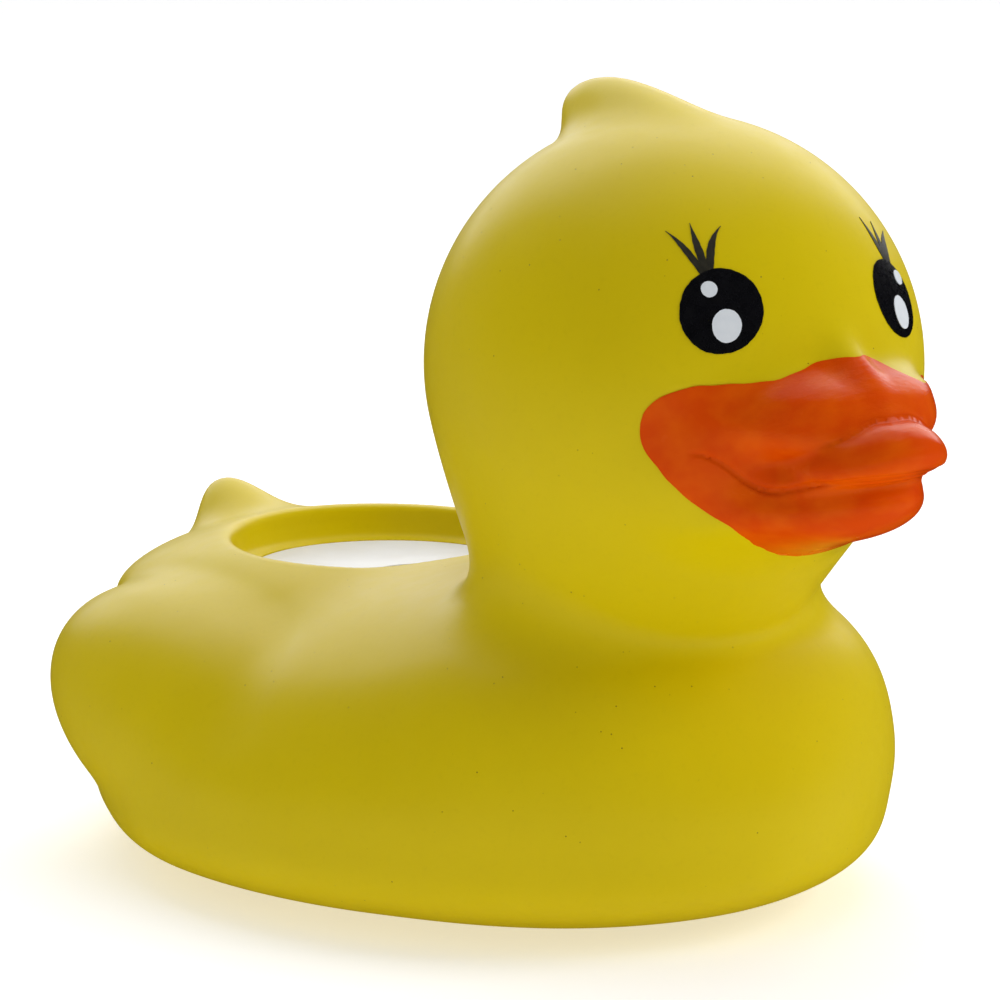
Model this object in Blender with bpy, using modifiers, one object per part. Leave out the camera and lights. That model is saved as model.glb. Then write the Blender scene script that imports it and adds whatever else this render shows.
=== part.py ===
"""Floating chlorine dispenser: a hollow rubber-duck float with a tablet canister in a well through its
back, a lift-out lid with a bayonet catch, and a flow dial under the belly.

Built in metres with +Z up. The duck faces -Y, its left side is +X, and it rests on the plane Z = 0.
Dimensions below are in millimetres. The duck's own forms are placed as (side, forward, up) from the
foot of the well's axis, and both sides are the same.
"""

import math

import bmesh
import bpy
import numpy as np
from mathutils import Matrix

MM = 0.001
AXIS_Y = 66.7                 # the well's axis, so that the whole part is centred on Y = 0

ROUND = 44                    # sides of the larger turned parts

# Hollow float
WALL = 3.0
FORM_STEP = 3.2               # spacing of the block-out's grid before it is reduced
OUTSIDE_FACES = 5200
INSIDE_FACES = 1800
HULL_CENTRE = (0.0, 21.9, 28.3)
HULL_WIDTH = 104.6
HULL_FRONT = 152.6
HULL_BACK = 117.4
HULL_UP = 37.5
HULL_DOWN = 30.7
HULL_PLAN_POWER = 1.82
HULL_SIDE_POWER = 3.05
HULL_TAPER = 0.00114          # widening per millimetre towards the chest
DECK = ((0.0, -2.8, 69.0), (78.4, 81.3, 25.4))
CHEST = ((0.0, 107.1, 57.9), (76.5, 57.2, 42.3))
FLANK = ((30.0, 66.0, 47.0), (64.0, 66.0, 38.0))
WING = ((64.6, 12.6, 42.6), (39.6, 75.4, 37.2), -10.4)
WING_CREASE = 1.9             # how deep the body is pressed in along the wing's edge
TAIL = ((0.0, -71.9, 81.4), (10.1, 17.1, 9.5), -43.0)
NECK = ((0.0, 118.4, 106.0), (48.9, 38.1, 47.4))
HEAD = ((0.0, 128.2, 156.1), (68.2, 69.3, 68.8))
CREST = ((0.0, 110.6, 217.7), (11.4, 27.9, 14.0), -12.0)
MUZZLE = ((0.0, 163.4, 138.6), (49.6, 36.2, 30.0))
UPPER_BILL = ((0.0, 179.9, 152.0), (36.2, 36.2, 12.4), -10.0)
BILL_BROW = ((0.0, 192.0, 155.5), (28.5, 20.6, 8.4), -6.0)
BILL_RIDGE = ((0.0, 196.5, 158.5), (7.6, 20.0, 10.2), -40.0)
BRIM = ((0.0, 204.0, 144.4), (22.0, 24.0, 9.2), 0.0)
BRIM_DROOP = 0.0098           # how the rolled brim bends down to the sides, per millimetre squared
MOUTH_CORE = ((0.0, 193.4, 134.6), (25.5, 21.0, 7.0), 0.0)
LOWER_BILL = ((0.0, 179.9, 126.1), (34.1, 32.1, 12.4), 3.0)
LOWER_BRIM = ((0.0, 199.4, 128.0), (20.0, 18.5, 8.3), 5.0)
MOUTH_HEIGHT = 137.6
MOUTH_DEPTH = 3.0
BROW_FOLD_HEIGHT = 151.8
BROW_FOLD_DEPTH = 2.6

# Well through the float, seen from its axis
RIM_Z = 89.6
RIM_RADIUS = 45.5
LIP_RADIUS = 40.7             # soft lip that snaps over the canister's flange
LIP_TOP = 79.8
GROOVE_TOP = 75.9
GROOVE_RADIUS = 43.6
SHOULDER_Z = 72.0
BORE_RADIUS = 40.9
BELLY_DIP = 0.8               # the forms reach this far under the flat of the belly before it is cut
BELLY_POCKET_RADIUS = 48.6
BELLY_POCKET_Z = 7.0

# Air vent in the belly, ahead of the well
VENT_FORWARD = 84.0
VENT_RADIUS = 4.0
VENT_HEAD_RADIUS = 7.2
VENT_HEAD_DEPTH = 2.4
VENT_BOSS_RADIUS = 11.0
VENT_BOSS_Z = 9.0

# Canister
CAN_OUTER = 40.4
CAN_INNER = 38.9              # takes a tablet 76 mm across
CAN_TOP = 76.9
FLANGE_TOP = 75.6
CAN_BOTTOM = 2.0
FLANGE_RADIUS = 42.4
FLANGE_THICK = 2.4
FLOOR_Z = 18.0
FLOOR_THICK = 2.5
POST_RING = 31.0
POST_RADIUS = 3.6
POST_BOTTOM = 8.3

# Lid
LID_RADIUS = 40.2
LID_TOP = 80.0
LID_THICK = 2.8
SKIRT_OUTER = 38.0
SKIRT_INNER = 35.8
SKIRT_BOTTOM = 66.6
SEAL_Z = 72.4
SEAL_RING = 38.0
SEAL_RADIUS = 0.8
LUG_Z = (67.2, 69.6)
LUG_REACH = 39.4
LUG_WIDTH = 6.0
LUG_TRACK_RADIUS = 39.75
LOCK_TURN = 40.0
GRIP_RADIUS = 14.5
GRIP_DEPTH = 7.0
GRIP_BAR = 8.0
GRIP_BACK = -15.0             # the grip sits towards the duck's front

# Base
GRILLE_Z = (5.3, 8.0)
GRILLE_RADIUS = 38.4
DIAL_Z = (3.0, 5.0)
DIAL_RADIUS = 38.2
WINDOW_INNER = 20.5
WINDOW_OUTER = 34.5
WINDOW_COUNT = 6
WINDOW_ANGLE = 27.0
DIAL_CLOSED = 30.0
RING_OUTER = 47.8
RING_Z = (1.2, 6.7)
BALLAST_Z = (9.3, 17.6)
BALLAST_RADII = (6.6, 19.0)


# ---------------------------------------------------------------- scene and materials

def clear_scene():
    for obj in list(bpy.data.objects):
        bpy.data.objects.remove(obj, do_unlink=True)


def new_collection(name, hidden):
    collection = bpy.data.collections.new(name)
    bpy.context.scene.collection.children.link(collection)
    collection.hide_render = hidden
    return collection


def move_to(obj, collection):
    for owner in list(obj.users_collection):
        owner.objects.unlink(obj)
    collection.objects.link(obj)


def material(name, colour, roughness, metallic=0.0):
    mat = bpy.data.materials.new(name)
    mat.use_nodes = True
    shader = mat.node_tree.nodes["Principled BSDF"]
    shader.inputs["Base Color"].default_value = (*colour, 1.0)
    shader.inputs["Roughness"].default_value = roughness
    shader.inputs["Metallic"].default_value = metallic
    return mat


def finish(obj, name, mat, collection):
    obj.name = name
    obj.data.name = name
    obj.data.materials.clear()
    obj.data.materials.append(mat)
    move_to(obj, collection)
    return obj


def as_cutter(obj, collection):
    obj.display_type = "WIRE"
    obj.hide_render = True
    move_to(obj, collection)
    return obj


# ---------------------------------------------------------------- small builders

def cylinder(radius, low, high, x=0.0, y=0.0, sides=24):
    """A closed cylinder standing on the well's own axes, from height low to height high."""
    bpy.ops.mesh.primitive_cylinder_add(
        vertices=sides,
        radius=radius * MM,
        depth=(high - low) * MM,
        location=(x * MM, (AXIS_Y + y) * MM, (low + high) / 2 * MM),
    )
    return bpy.context.object


def block(size, centre, turn=0.0):
    """A closed box given by its size and centre, turned about the well's axis."""
    bpy.ops.mesh.primitive_cube_add(size=1.0)
    obj = bpy.context.object
    obj.scale = [length * MM for length in size]
    bpy.ops.object.transform_apply(location=False, rotation=False, scale=True)
    angle = math.radians(turn)
    obj.location = (
        (centre[0] * math.cos(angle) - centre[1] * math.sin(angle)) * MM,
        (AXIS_Y + centre[0] * math.sin(angle) + centre[1] * math.cos(angle)) * MM,
        centre[2] * MM,
    )
    obj.rotation_euler = (0.0, 0.0, angle)
    return obj


def add_screw(obj, angle, steps, join):
    screw = obj.modifiers.new("Turned", "SCREW")
    screw.angle = math.radians(angle)
    screw.steps = steps
    screw.render_steps = steps
    screw.use_merge_vertices = join
    screw.merge_threshold = 0.00002
    screw.use_smooth_shade = False
    return screw


def lathe(name, profile, sides):
    """A turned body: the closed profile of (radius, height) points goes once round the well's axis."""
    mesh = bpy.data.meshes.new(name)
    points = [(radius * MM, 0.0, height * MM) for radius, height in profile]
    ends = [i for i, point in enumerate(profile) if point[0] == 0.0]
    edges = [(i, i + 1) for i in range(len(points) - 1)]
    if not ends:
        edges.append((len(points) - 1, 0))
    mesh.from_pydata(points, edges, [])
    obj = bpy.data.objects.new(name, mesh)
    bpy.context.scene.collection.objects.link(obj)
    obj.location = (0.0, AXIS_Y * MM, 0.0)
    add_screw(obj, 360.0, sides, True)
    return obj


def sector(inner, outer, low, high, start, sweep, steps=6):
    """A closed block that follows an arc round the well's axis, between two radii."""
    mesh = bmesh.new()
    corners = [(inner, low), (outer, low), (outer, high), (inner, high)]
    first = [mesh.verts.new((radius * MM, 0.0, height * MM)) for radius, height in corners]
    face = mesh.faces.new(first)
    spin = Matrix.Rotation(math.radians(start), 3, "Z")
    bmesh.ops.rotate(mesh, verts=mesh.verts, matrix=spin, cent=(0.0, 0.0, 0.0))
    bmesh.ops.spin(
        mesh,
        geom=[face] + list(face.edges) + list(face.verts),
        cent=(0.0, 0.0, 0.0),
        axis=(0.0, 0.0, 1.0),
        angle=math.radians(sweep),
        steps=steps,
    )
    bmesh.ops.recalc_face_normals(mesh, faces=mesh.faces)
    data = bpy.data.meshes.new("sector")
    mesh.to_mesh(data)
    mesh.free()
    obj = bpy.data.objects.new("sector", data)
    bpy.context.scene.collection.objects.link(obj)
    obj.location = (0.0, AXIS_Y * MM, 0.0)
    return obj


def boolean(obj, other, operation):
    modifier = obj.modifiers.new(other.name, "BOOLEAN")
    modifier.operation = operation
    modifier.solver = "EXACT"
    modifier.object = other
    return modifier


def cut(obj, cutters, name, tool):
    """Takes a closed cutter out of a body and keeps it in the cutters' collection."""
    tool.name = name
    as_cutter(tool, cutters)
    boolean(obj, tool, "DIFFERENCE")


def add_on(obj, cutters, name, tool):
    """Joins a closed piece of the same moulding on to a body."""
    tool.name = name
    as_cutter(tool, cutters)
    boolean(obj, tool, "UNION")


# ---------------------------------------------------------------- the duck's form as distances

def turned(points, centre, pitch):
    """Points seen from a form's centre, with the form's forward end lifted by the pitch."""
    q = points - np.array(centre)
    angle = math.radians(pitch)
    forward = q[:, 1] * math.cos(angle) + q[:, 2] * math.sin(angle)
    up = q[:, 2] * math.cos(angle) - q[:, 1] * math.sin(angle)
    return np.stack([q[:, 0], forward, up], axis=1)


def egg(points, centre, radii, pitch=0.0):
    q = turned(points, centre, pitch)
    sizes = np.array(radii)
    near = np.sqrt(((q / sizes) ** 2).sum(axis=1))
    slope = np.sqrt(((q / sizes ** 2) ** 2).sum(axis=1))
    return near * (near - 1.0) / np.maximum(slope, 1e-9)


def melt(first, second, width):
    """Joins two forms with a soft fillet of the given width."""
    mix = np.clip(0.5 + 0.5 * (second - first) / width, 0.0, 1.0)
    return second + (first - second) * mix - width * mix * (1.0 - mix)


def carve(first, second, width):
    """Keeps what is inside both forms, with a soft edge of the given width."""
    return -melt(-first, -second, width)


def smooth(value, low, high):
    """0 below low and 1 above high, with an S-shaped rise between."""
    t = np.clip((value - low) / (high - low), 0.0, 1.0)
    return t * t * (3.0 - 2.0 * t)


def hull(points):
    """The boat-shaped body: a rounded box with its own reach to each end, up and down."""
    side = points[:, 0] / (1.0 + HULL_TAPER * np.clip(points[:, 1] - HULL_CENTRE[1], -160.0, 160.0))
    forward = points[:, 1] - HULL_CENTRE[1]
    up = points[:, 2] - HULL_CENTRE[2]
    length = np.where(forward > 0.0, HULL_FRONT, HULL_BACK)
    height = np.where(up > 0.0, HULL_UP, HULL_DOWN)
    u = np.maximum(np.abs(side) / HULL_WIDTH, 1e-6)
    v = np.maximum(np.abs(forward) / length, 1e-6)
    w = np.maximum(np.abs(up) / height, 1e-6)
    plan = u ** HULL_PLAN_POWER + v ** HULL_PLAN_POWER
    total = plan ** (HULL_SIDE_POWER / HULL_PLAN_POWER) + w ** HULL_SIDE_POWER
    reach = total ** (1.0 / HULL_SIDE_POWER)
    gain = reach / total * plan ** (HULL_SIDE_POWER / HULL_PLAN_POWER - 1.0)
    slope_u = gain * u ** (HULL_PLAN_POWER - 1.0) / HULL_WIDTH
    slope_v = gain * v ** (HULL_PLAN_POWER - 1.0) / length
    slope_w = reach / total * w ** (HULL_SIDE_POWER - 1.0) / height
    return (reach - 1.0) / np.maximum(np.sqrt(slope_u ** 2 + slope_v ** 2 + slope_w ** 2), 1e-9)


def body_form(points):
    form = melt(hull(points), egg(points, *DECK), 20.7)
    form = melt(form, egg(points, *CHEST), 31.0)
    form = melt(form, egg(points, *FLANK), 10.0)
    wing = egg(points, *WING)
    reach = points[:, 1] - 0.8 * (points[:, 2] - 60.0)
    crease = WING_CREASE * np.exp(-(wing / 6.0) ** 2) * (1.0 - smooth(reach, 5.0, 58.0))
    form = melt(form + crease, wing, 4.6)
    return melt(form, egg(points, *TAIL), 16.5)


def head_form(points):
    form = melt(egg(points, *HEAD), egg(points, *NECK), 24.8)
    return melt(form, egg(points, *CREST), 10.3)


def bill_form(points):
    upper = melt(egg(points, *UPPER_BILL), egg(points, *BILL_BROW), 8.0)
    upper = melt(upper, egg(points, *BILL_RIDGE), 4.0)
    drooped = points + np.outer(BRIM_DROOP * points[:, 0] ** 2, (0.0, 0.0, 1.0))
    upper = melt(upper, egg(drooped, *BRIM), 2.6)
    lower = melt(egg(points, *LOWER_BILL), egg(points, *LOWER_BRIM), 6.0)
    lower = melt(lower, egg(points, *MOUTH_CORE), 3.0)
    return melt(melt(upper, lower, 2.4), egg(points, *MUZZLE), 9.3)


def mouth_line(side):
    """Height of the line between the upper and lower bill at a distance from the middle."""
    return MOUTH_HEIGHT - 4.4 * np.exp(-((side - 26.0) / 7.5) ** 2) + 5.5 * smooth(side, 26.0, 42.0)


def brow_line(side):
    """Height of the fold between the top of the bill and the rolled brim of its upper half."""
    return BROW_FOLD_HEIGHT - 6.0 * smooth(side, 4.0, 22.0)


def fold(form, off_line, half, depth, fade):
    """Presses a soft fold of a half-width and a depth into the form where off_line is near nought."""
    width = 0.2 + 1.4 * fade
    groove = np.minimum(half - np.abs(off_line), form + depth * fade - width)
    return np.where(fade > 0.0, carve(form, groove, width), form)


def with_folds(form, points):
    side, forward, up = points.T
    fade = np.clip((43.5 - side) / 10.0, 0.0, 1.0) * np.clip((forward - 165.0) / 10.0, 0.0, 1.0)
    form = fold(form, up - mouth_line(side), 1.2, MOUTH_DEPTH - 1.2 * smooth(-side, -24.0, -14.0), fade)
    fade = np.clip((23.0 - side) / 13.0, 0.0, 1.0) * np.clip((forward - 198.0) / 8.0, 0.0, 1.0)
    return fold(form, up - brow_line(side), 0.8, BROW_FOLD_DEPTH, fade)


def duck_form(points):
    """Distance from points (side, forward, up) to the whole duck, without its well."""
    side = points[:, 0] ** 2
    share = side / (side + (points[:, 1] - 117.0) ** 2 + 27.0)
    form = melt(body_form(points), head_form(points), 5.5 + 15.0 * share ** 2)
    form = melt(form, bill_form(points), 6.2)
    form = with_folds(form, points)
    return carve(form, -BELLY_DIP - points[:, 2], 4.1)


def post(radius, low, high, points, forward=0.0):
    """Distance to a cylinder that stands on the middle line."""
    across = np.hypot(points[:, 0], points[:, 1] - forward) - radius
    return np.maximum(across, np.maximum(low - points[:, 2], points[:, 2] - high))


def hollow_form(points):
    """Distance to the air space: a wall's thickness inside the duck and clear of the well and vent."""
    form = duck_form(points) + WALL
    well = post(BORE_RADIUS + WALL, -5.0, 200.0, points)
    well = np.minimum(well, post(RIM_RADIUS + WALL, SHOULDER_Z - WALL, 200.0, points))
    well = np.minimum(well, post(BELLY_POCKET_RADIUS + WALL, -5.0, BELLY_POCKET_Z + WALL, points))
    form = carve(form, -well, 8.0)
    return carve(form, -post(VENT_BOSS_RADIUS, -5.0, VENT_BOSS_Z, points, VENT_FORWARD), 6.0)


# ---------------------------------------------------------------- the float

def stand_egg(centre, radii, pitch=0.0, side=1.0, shrink=0.0):
    """A block-out egg for one form, put where the form is."""
    bpy.ops.mesh.primitive_uv_sphere_add(segments=32, ring_count=20, radius=1.0)
    obj = bpy.context.object
    obj.scale = [(radius - shrink) * MM for radius in radii]
    obj.rotation_euler = (-math.radians(pitch), 0.0, 0.0)
    obj.location = (side * centre[0] * MM, (AXIS_Y - centre[1]) * MM, centre[2] * MM)
    return obj


def block_out(name, forms, shrink):
    """Every form as an egg, joined into one mesh and remeshed to an even closed skin."""
    pieces = []
    for form in forms:
        pieces.append(stand_egg(*form, shrink=shrink))
        if form[0][0] > 0.0:
            pieces.append(stand_egg(*form, side=-1.0, shrink=shrink))
    bpy.ops.object.select_all(action="DESELECT")
    for piece in pieces:
        piece.select_set(True)
    bpy.context.view_layer.objects.active = pieces[0]
    bpy.ops.object.join()
    obj = bpy.context.object
    bpy.ops.object.transform_apply(location=True, rotation=True, scale=True)
    obj.name = name
    return obj


def remesh(obj, step):
    skin = obj.modifiers.new("Skin", "REMESH")
    skin.mode = "VOXEL"
    skin.voxel_size = step * MM
    bake(obj)


def bake(obj):
    """Turns a body's modifiers into plain mesh."""
    graph = bpy.context.evaluated_depsgraph_get()
    mesh = bpy.data.meshes.new_from_object(obj.evaluated_get(graph))
    obj.modifiers.clear()
    obj.data = mesh


def settle(obj, form, rounds):
    """Moves the skin's points along the form's slope until they lie on it, evening them out on the way."""
    mesh = obj.data
    count = len(mesh.vertices)
    flat = np.zeros(count * 3)
    mesh.vertices.foreach_get("co", flat)
    place = flat.reshape(-1, 3) / MM
    pairs = np.zeros(len(mesh.edges) * 2, dtype=np.int32)
    mesh.edges.foreach_get("vertices", pairs)
    first, second = pairs.reshape(-1, 2).T
    degree = np.maximum(np.bincount(pairs, minlength=count), 1)[:, None]
    for turn in range(rounds):
        place = place - slope_step(place, form)
        if turn < rounds - 2:
            total = np.zeros_like(place)
            np.add.at(total, first, place[second])
            np.add.at(total, second, place[first])
            place = place + 0.4 * (total / degree - place)
    mesh.vertices.foreach_set("co", (place * MM).ravel())
    mesh.update()


def duck_points(place):
    return np.stack([np.abs(place[:, 0]), AXIS_Y - place[:, 1], place[:, 2]], axis=1)


def slope_step(place, form):
    value = form(duck_points(place))
    slope = np.zeros_like(place)
    for axis in range(3):
        nudge = np.zeros(3)
        nudge[axis] = 0.2
        ahead = form(duck_points(place + nudge))
        behind = form(duck_points(place - nudge))
        slope[:, axis] = (ahead - behind) / 0.4
    steep = np.maximum((slope ** 2).sum(axis=1), 0.2)
    step = value / steep
    return np.clip(step, -4.0, 4.0)[:, None] * slope


def reduce_faces(obj, faces):
    thin = obj.modifiers.new("Fewer", "DECIMATE")
    thin.ratio = faces / (2.0 * len(obj.data.polygons))
    bake(obj)


def hull_egg():
    middle = (0.0, HULL_CENTRE[1] + (HULL_FRONT - HULL_BACK) / 2, 31.0)
    return (middle, (HULL_WIDTH * 0.94, (HULL_FRONT + HULL_BACK) / 2, 32.0))


def duck_outside(cutters):
    forms = [hull_egg(), DECK, CHEST, WING, TAIL, NECK, HEAD, CREST]
    forms += [MUZZLE, UPPER_BILL, BILL_BROW, BILL_RIDGE, BRIM, MOUTH_CORE, LOWER_BILL, LOWER_BRIM]
    obj = block_out("duck_float", forms, 0.0)
    remesh(obj, FORM_STEP)
    settle(obj, duck_form, 14)
    reduce_faces(obj, OUTSIDE_FACES)
    cut(obj, cutters, "under_the_belly", block((300.0, 400.0, 40.0), (0.0, 0.0, -20.0)))
    return obj


def duck_inside(cutters):
    forms = [hull_egg(), DECK, CHEST, WING, NECK, HEAD, MUZZLE]
    obj = block_out("air_space", forms, WALL)
    remesh(obj, FORM_STEP)
    cut(obj, cutters, "air_space_well", cylinder(BORE_RADIUS + WALL, -20.0, 110.0, sides=64))
    bake(obj)
    remesh(obj, FORM_STEP)
    settle(obj, hollow_form, 14)
    reduce_faces(obj, INSIDE_FACES)
    return obj


def well_profile():
    """The stepped hole: recess, soft lip over the flange's groove, bore, and the locking ring's pocket."""
    return [
        (0.0, 110.0),
        (RIM_RADIUS + 3.5, 110.0),
        (RIM_RADIUS + 3.5, RIM_Z + 1.4),
        (RIM_RADIUS + 1.2, RIM_Z - 0.4),
        (RIM_RADIUS, RIM_Z - 3.0),
        (RIM_RADIUS - 1.1, LIP_TOP + 3.0),
        (RIM_RADIUS - 1.6, LIP_TOP + 1.7),
        (RIM_RADIUS - 2.5, LIP_TOP + 0.9),
        (LIP_RADIUS + 0.9, LIP_TOP + 0.5),
        (LIP_RADIUS, LIP_TOP),
        (LIP_RADIUS, GROOVE_TOP),
        (GROOVE_RADIUS, GROOVE_TOP),
        (GROOVE_RADIUS, SHOULDER_Z),
        (BORE_RADIUS, SHOULDER_Z),
        (BORE_RADIUS, BELLY_POCKET_Z),
        (BELLY_POCKET_RADIUS, BELLY_POCKET_Z),
        (BELLY_POCKET_RADIUS, -5.0),
        (0.0, -5.0),
    ]


def vent_profile():
    return [
        (0.0, VENT_BOSS_Z + 8.0),
        (VENT_RADIUS, VENT_BOSS_Z + 8.0),
        (VENT_RADIUS, VENT_HEAD_DEPTH),
        (VENT_HEAD_RADIUS, VENT_HEAD_DEPTH),
        (VENT_HEAD_RADIUS, -5.0),
        (0.0, -5.0),
    ]


def build_float(mat, part, cutters):
    obj = duck_outside(cutters)
    cut(obj, cutters, "air_space", duck_inside(cutters))
    cut(obj, cutters, "well", lathe("well", well_profile(), 56))
    vent = lathe("vent", vent_profile(), 20)
    vent.location.y = (AXIS_Y - VENT_FORWARD) * MM
    cut(obj, cutters, "vent", vent)
    return finish(obj, "duck_float", mat, part)


def build_vent_plug(mat, part):
    profile = [
        (0.0, 13.0),
        (2.6, 13.0),
        (VENT_RADIUS - 0.3, 10.5),
        (VENT_RADIUS - 0.3, VENT_HEAD_DEPTH - 0.3),
        (VENT_HEAD_RADIUS - 0.5, VENT_HEAD_DEPTH - 0.3),
        (VENT_HEAD_RADIUS - 0.5, 0.9),
        (VENT_HEAD_RADIUS - 1.0, 0.4),
        (0.0, 0.4),
    ]
    obj = lathe("float_vent_plug", profile, 20)
    obj.location.y = (AXIS_Y - VENT_FORWARD) * MM
    return finish(obj, "float_vent_plug", mat, part)


# ---------------------------------------------------------------- the canister and what holds it

def build_canister(mat, part, cutters):
    profile = [
        (CAN_INNER, CAN_TOP),
        (CAN_OUTER, CAN_TOP),
        (CAN_OUTER, FLANGE_TOP),
        (FLANGE_RADIUS, FLANGE_TOP),
        (FLANGE_RADIUS, FLANGE_TOP - FLANGE_THICK),
        (CAN_OUTER, FLANGE_TOP - FLANGE_THICK),
        (CAN_OUTER, CAN_BOTTOM),
        (CAN_INNER, CAN_BOTTOM),
        (CAN_INNER, FLOOR_Z),
        (0.0, FLOOR_Z),
        (0.0, FLOOR_Z + FLOOR_THICK),
        (CAN_INNER, FLOOR_Z + FLOOR_THICK),
    ]
    obj = lathe_wall("canister", profile, ROUND)
    for i in range(3):
        angle = math.radians(120.0 * i + 90.0)
        x, y = POST_RING * math.cos(angle), POST_RING * math.sin(angle)
        add_on(obj, cutters, f"post_{i + 1}", cylinder(POST_RADIUS, POST_BOTTOM, FLOOR_Z + 1.0, x, y, 16))
        cut(obj, cutters, f"post_hole_{i + 1}", cylinder(1.35, POST_BOTTOM - 3.0, 16.0, x, y, 12))
    drain_ring(obj, cutters, 13.5, 6, 3.6, 0.0)
    drain_ring(obj, cutters, 25.5, 9, 3.6, 10.0)
    for i in range(3):
        start = 120.0 * i
        slot = sector(CAN_INNER - 1.5, LUG_TRACK_RADIUS, LUG_Z[0] - 0.6, CAN_TOP + 3.0, start - 5.5, 11.0, 3)
        cut(obj, cutters, f"lug_entry_{i + 1}", slot)
        track = sector(
            CAN_INNER - 1.5,
            LUG_TRACK_RADIUS,
            LUG_Z[0] - 0.6,
            LUG_Z[1] + 0.5,
            start,
            LOCK_TURN + 6.5,
            6,
        )
        cut(obj, cutters, f"lug_track_{i + 1}", track)
    return finish(obj, "canister", mat, part)


def lathe_wall(name, profile, sides):
    """A turned body whose profile touches the axis along a floor, so it is swept as an open line."""
    start = [i for i, point in enumerate(profile) if point[0] == 0.0][1]
    ordered = profile[start:] + profile[:start]
    return lathe(name, ordered, sides)


def drain_ring(obj, cutters, ring, count, radius, start):
    """A ring of round drain holes through the tablet floor."""
    for i in range(count):
        angle = math.radians(start + 360.0 * i / count)
        x, y = ring * math.cos(angle), ring * math.sin(angle)
        hole = cylinder(radius, FLOOR_Z - 3.0, FLOOR_Z + FLOOR_THICK + 3.0, x, y, 10)
        cut(obj, cutters, f"drain_{int(ring)}_{i + 1}", hole)


def build_gasket(mat, part):
    low, high = SHOULDER_Z + 0.2, FLANGE_TOP - FLANGE_THICK - 0.2
    profile = [(41.1, high), (43.2, high), (43.2, low), (41.1, low)]
    return finish(lathe("canister_gasket", profile, ROUND), "canister_gasket", mat, part)


def build_locking_ring(mat, part, cutters):
    low, high = RING_Z
    inner = CAN_OUTER + 0.4
    profile = [(inner, high), (RING_OUTER, high), (RING_OUTER, low + 0.8), (RING_OUTER - 0.8, low), (inner, low)]
    obj = lathe("locking_ring", profile, ROUND)
    for i in range(8):
        notch = block((6.0, 4.0, 3.0), (RING_OUTER, 0.0, low), 45.0 * i + 22.5)
        cut(obj, cutters, f"spanner_notch_{i + 1}", notch)
    return finish(obj, "locking_ring", mat, part)


def build_ballast(mat, part):
    inner, outer = BALLAST_RADII
    low, high = BALLAST_Z
    profile = [
        (inner, high),
        (outer - 0.8, high),
        (outer, high - 0.8),
        (outer, low + 0.8),
        (outer - 0.8, low),
        (inner, low),
    ]
    return finish(lathe("ballast_ring", profile, 36), "ballast_ring", mat, part)


# ---------------------------------------------------------------- the base: grille, dial, screws

def cut_windows(obj, cutters, label, low, high, offset):
    for i in range(WINDOW_COUNT):
        start = 60.0 * i + offset - WINDOW_ANGLE / 2
        window = sector(WINDOW_INNER, WINDOW_OUTER, low - 2.0, high + 2.0, start, WINDOW_ANGLE, 3)
        cut(obj, cutters, f"{label}_window_{i + 1}", window)


def build_grille(mat, part, cutters):
    low, high = GRILLE_Z
    profile = [
        (0.0, 13.5),
        (5.9, 13.5),
        (5.9, 9.0),
        (9.5, 9.0),
        (9.5, high),
        (GRILLE_RADIUS, high),
        (GRILLE_RADIUS, low),
        (0.0, low),
    ]
    obj = lathe("base_grille", profile, ROUND)
    cut_windows(obj, cutters, "grille", low, high, 60.0)
    for i in range(3):
        angle = math.radians(120.0 * i + 90.0)
        x, y = POST_RING * math.cos(angle), POST_RING * math.sin(angle)
        cut(obj, cutters, f"grille_hole_{i + 1}", cylinder(1.6, low - 2.0, high + 2.0, x, y, 12))
        cut(obj, cutters, f"grille_sink_{i + 1}", cylinder(3.0, low - 2.0, low + 1.5, x, y, 16))
    cut(obj, cutters, "pivot_hole", cylinder(1.8, low - 2.0, 12.0, sides=16))
    return finish(obj, "base_grille", mat, part)


def build_dial(mat, part, cutters):
    low, high = DIAL_Z
    profile = [
        (0.0, high),
        (DIAL_RADIUS, high),
        (DIAL_RADIUS, low + 0.5),
        (DIAL_RADIUS - 0.5, low),
        (0.0, low),
    ]
    obj = lathe("flow_dial", profile, ROUND)
    cut_windows(obj, cutters, "dial", low, high, DIAL_CLOSED)
    bar = block((58.0, 5.0, 3.0), (0.0, 0.0, 2.1), DIAL_CLOSED + 30.0)
    add_on(obj, cutters, "dial_grip", bar)
    cut(obj, cutters, "dial_hub", cylinder(6.2, -2.0, low, sides=24))
    cut(obj, cutters, "dial_bore", cylinder(2.0, -2.0, high + 2.0, sides=16))
    return finish(obj, "flow_dial", mat, part)


def build_pivot(steel, part):
    screw = [
        (0.0, 11.4),
        (1.5, 11.4),
        (1.5, 2.05),
        (3.4, 2.05),
        (3.4, 1.3),
        (2.6, 0.7),
        (0.0, 0.7),
    ]
    finish(lathe("pivot_screw", screw, 16), "pivot_screw", steel, part)
    washer = [(1.7, 2.8), (4.4, 2.8), (4.4, 2.25), (1.7, 2.25)]
    finish(lathe("pivot_washer", washer, 20), "pivot_washer", steel, part)


def build_grille_screws(steel, part):
    low = GRILLE_Z[0]
    profile = [
        (0.0, 15.0),
        (1.1, 15.0),
        (1.1, low + 1.3),
        (2.7, low + 1.3),
        (2.7, low + 0.5),
        (2.2, low + 0.1),
        (0.0, low + 0.1),
    ]
    for i in range(3):
        angle = math.radians(120.0 * i + 90.0)
        obj = lathe(f"grille_screw_{i + 1}", profile, 12)
        obj.location.x = POST_RING * math.cos(angle) * MM
        obj.location.y = (AXIS_Y + POST_RING * math.sin(angle)) * MM
        finish(obj, f"grille_screw_{i + 1}", steel, part)


# ---------------------------------------------------------------- the lid

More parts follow.
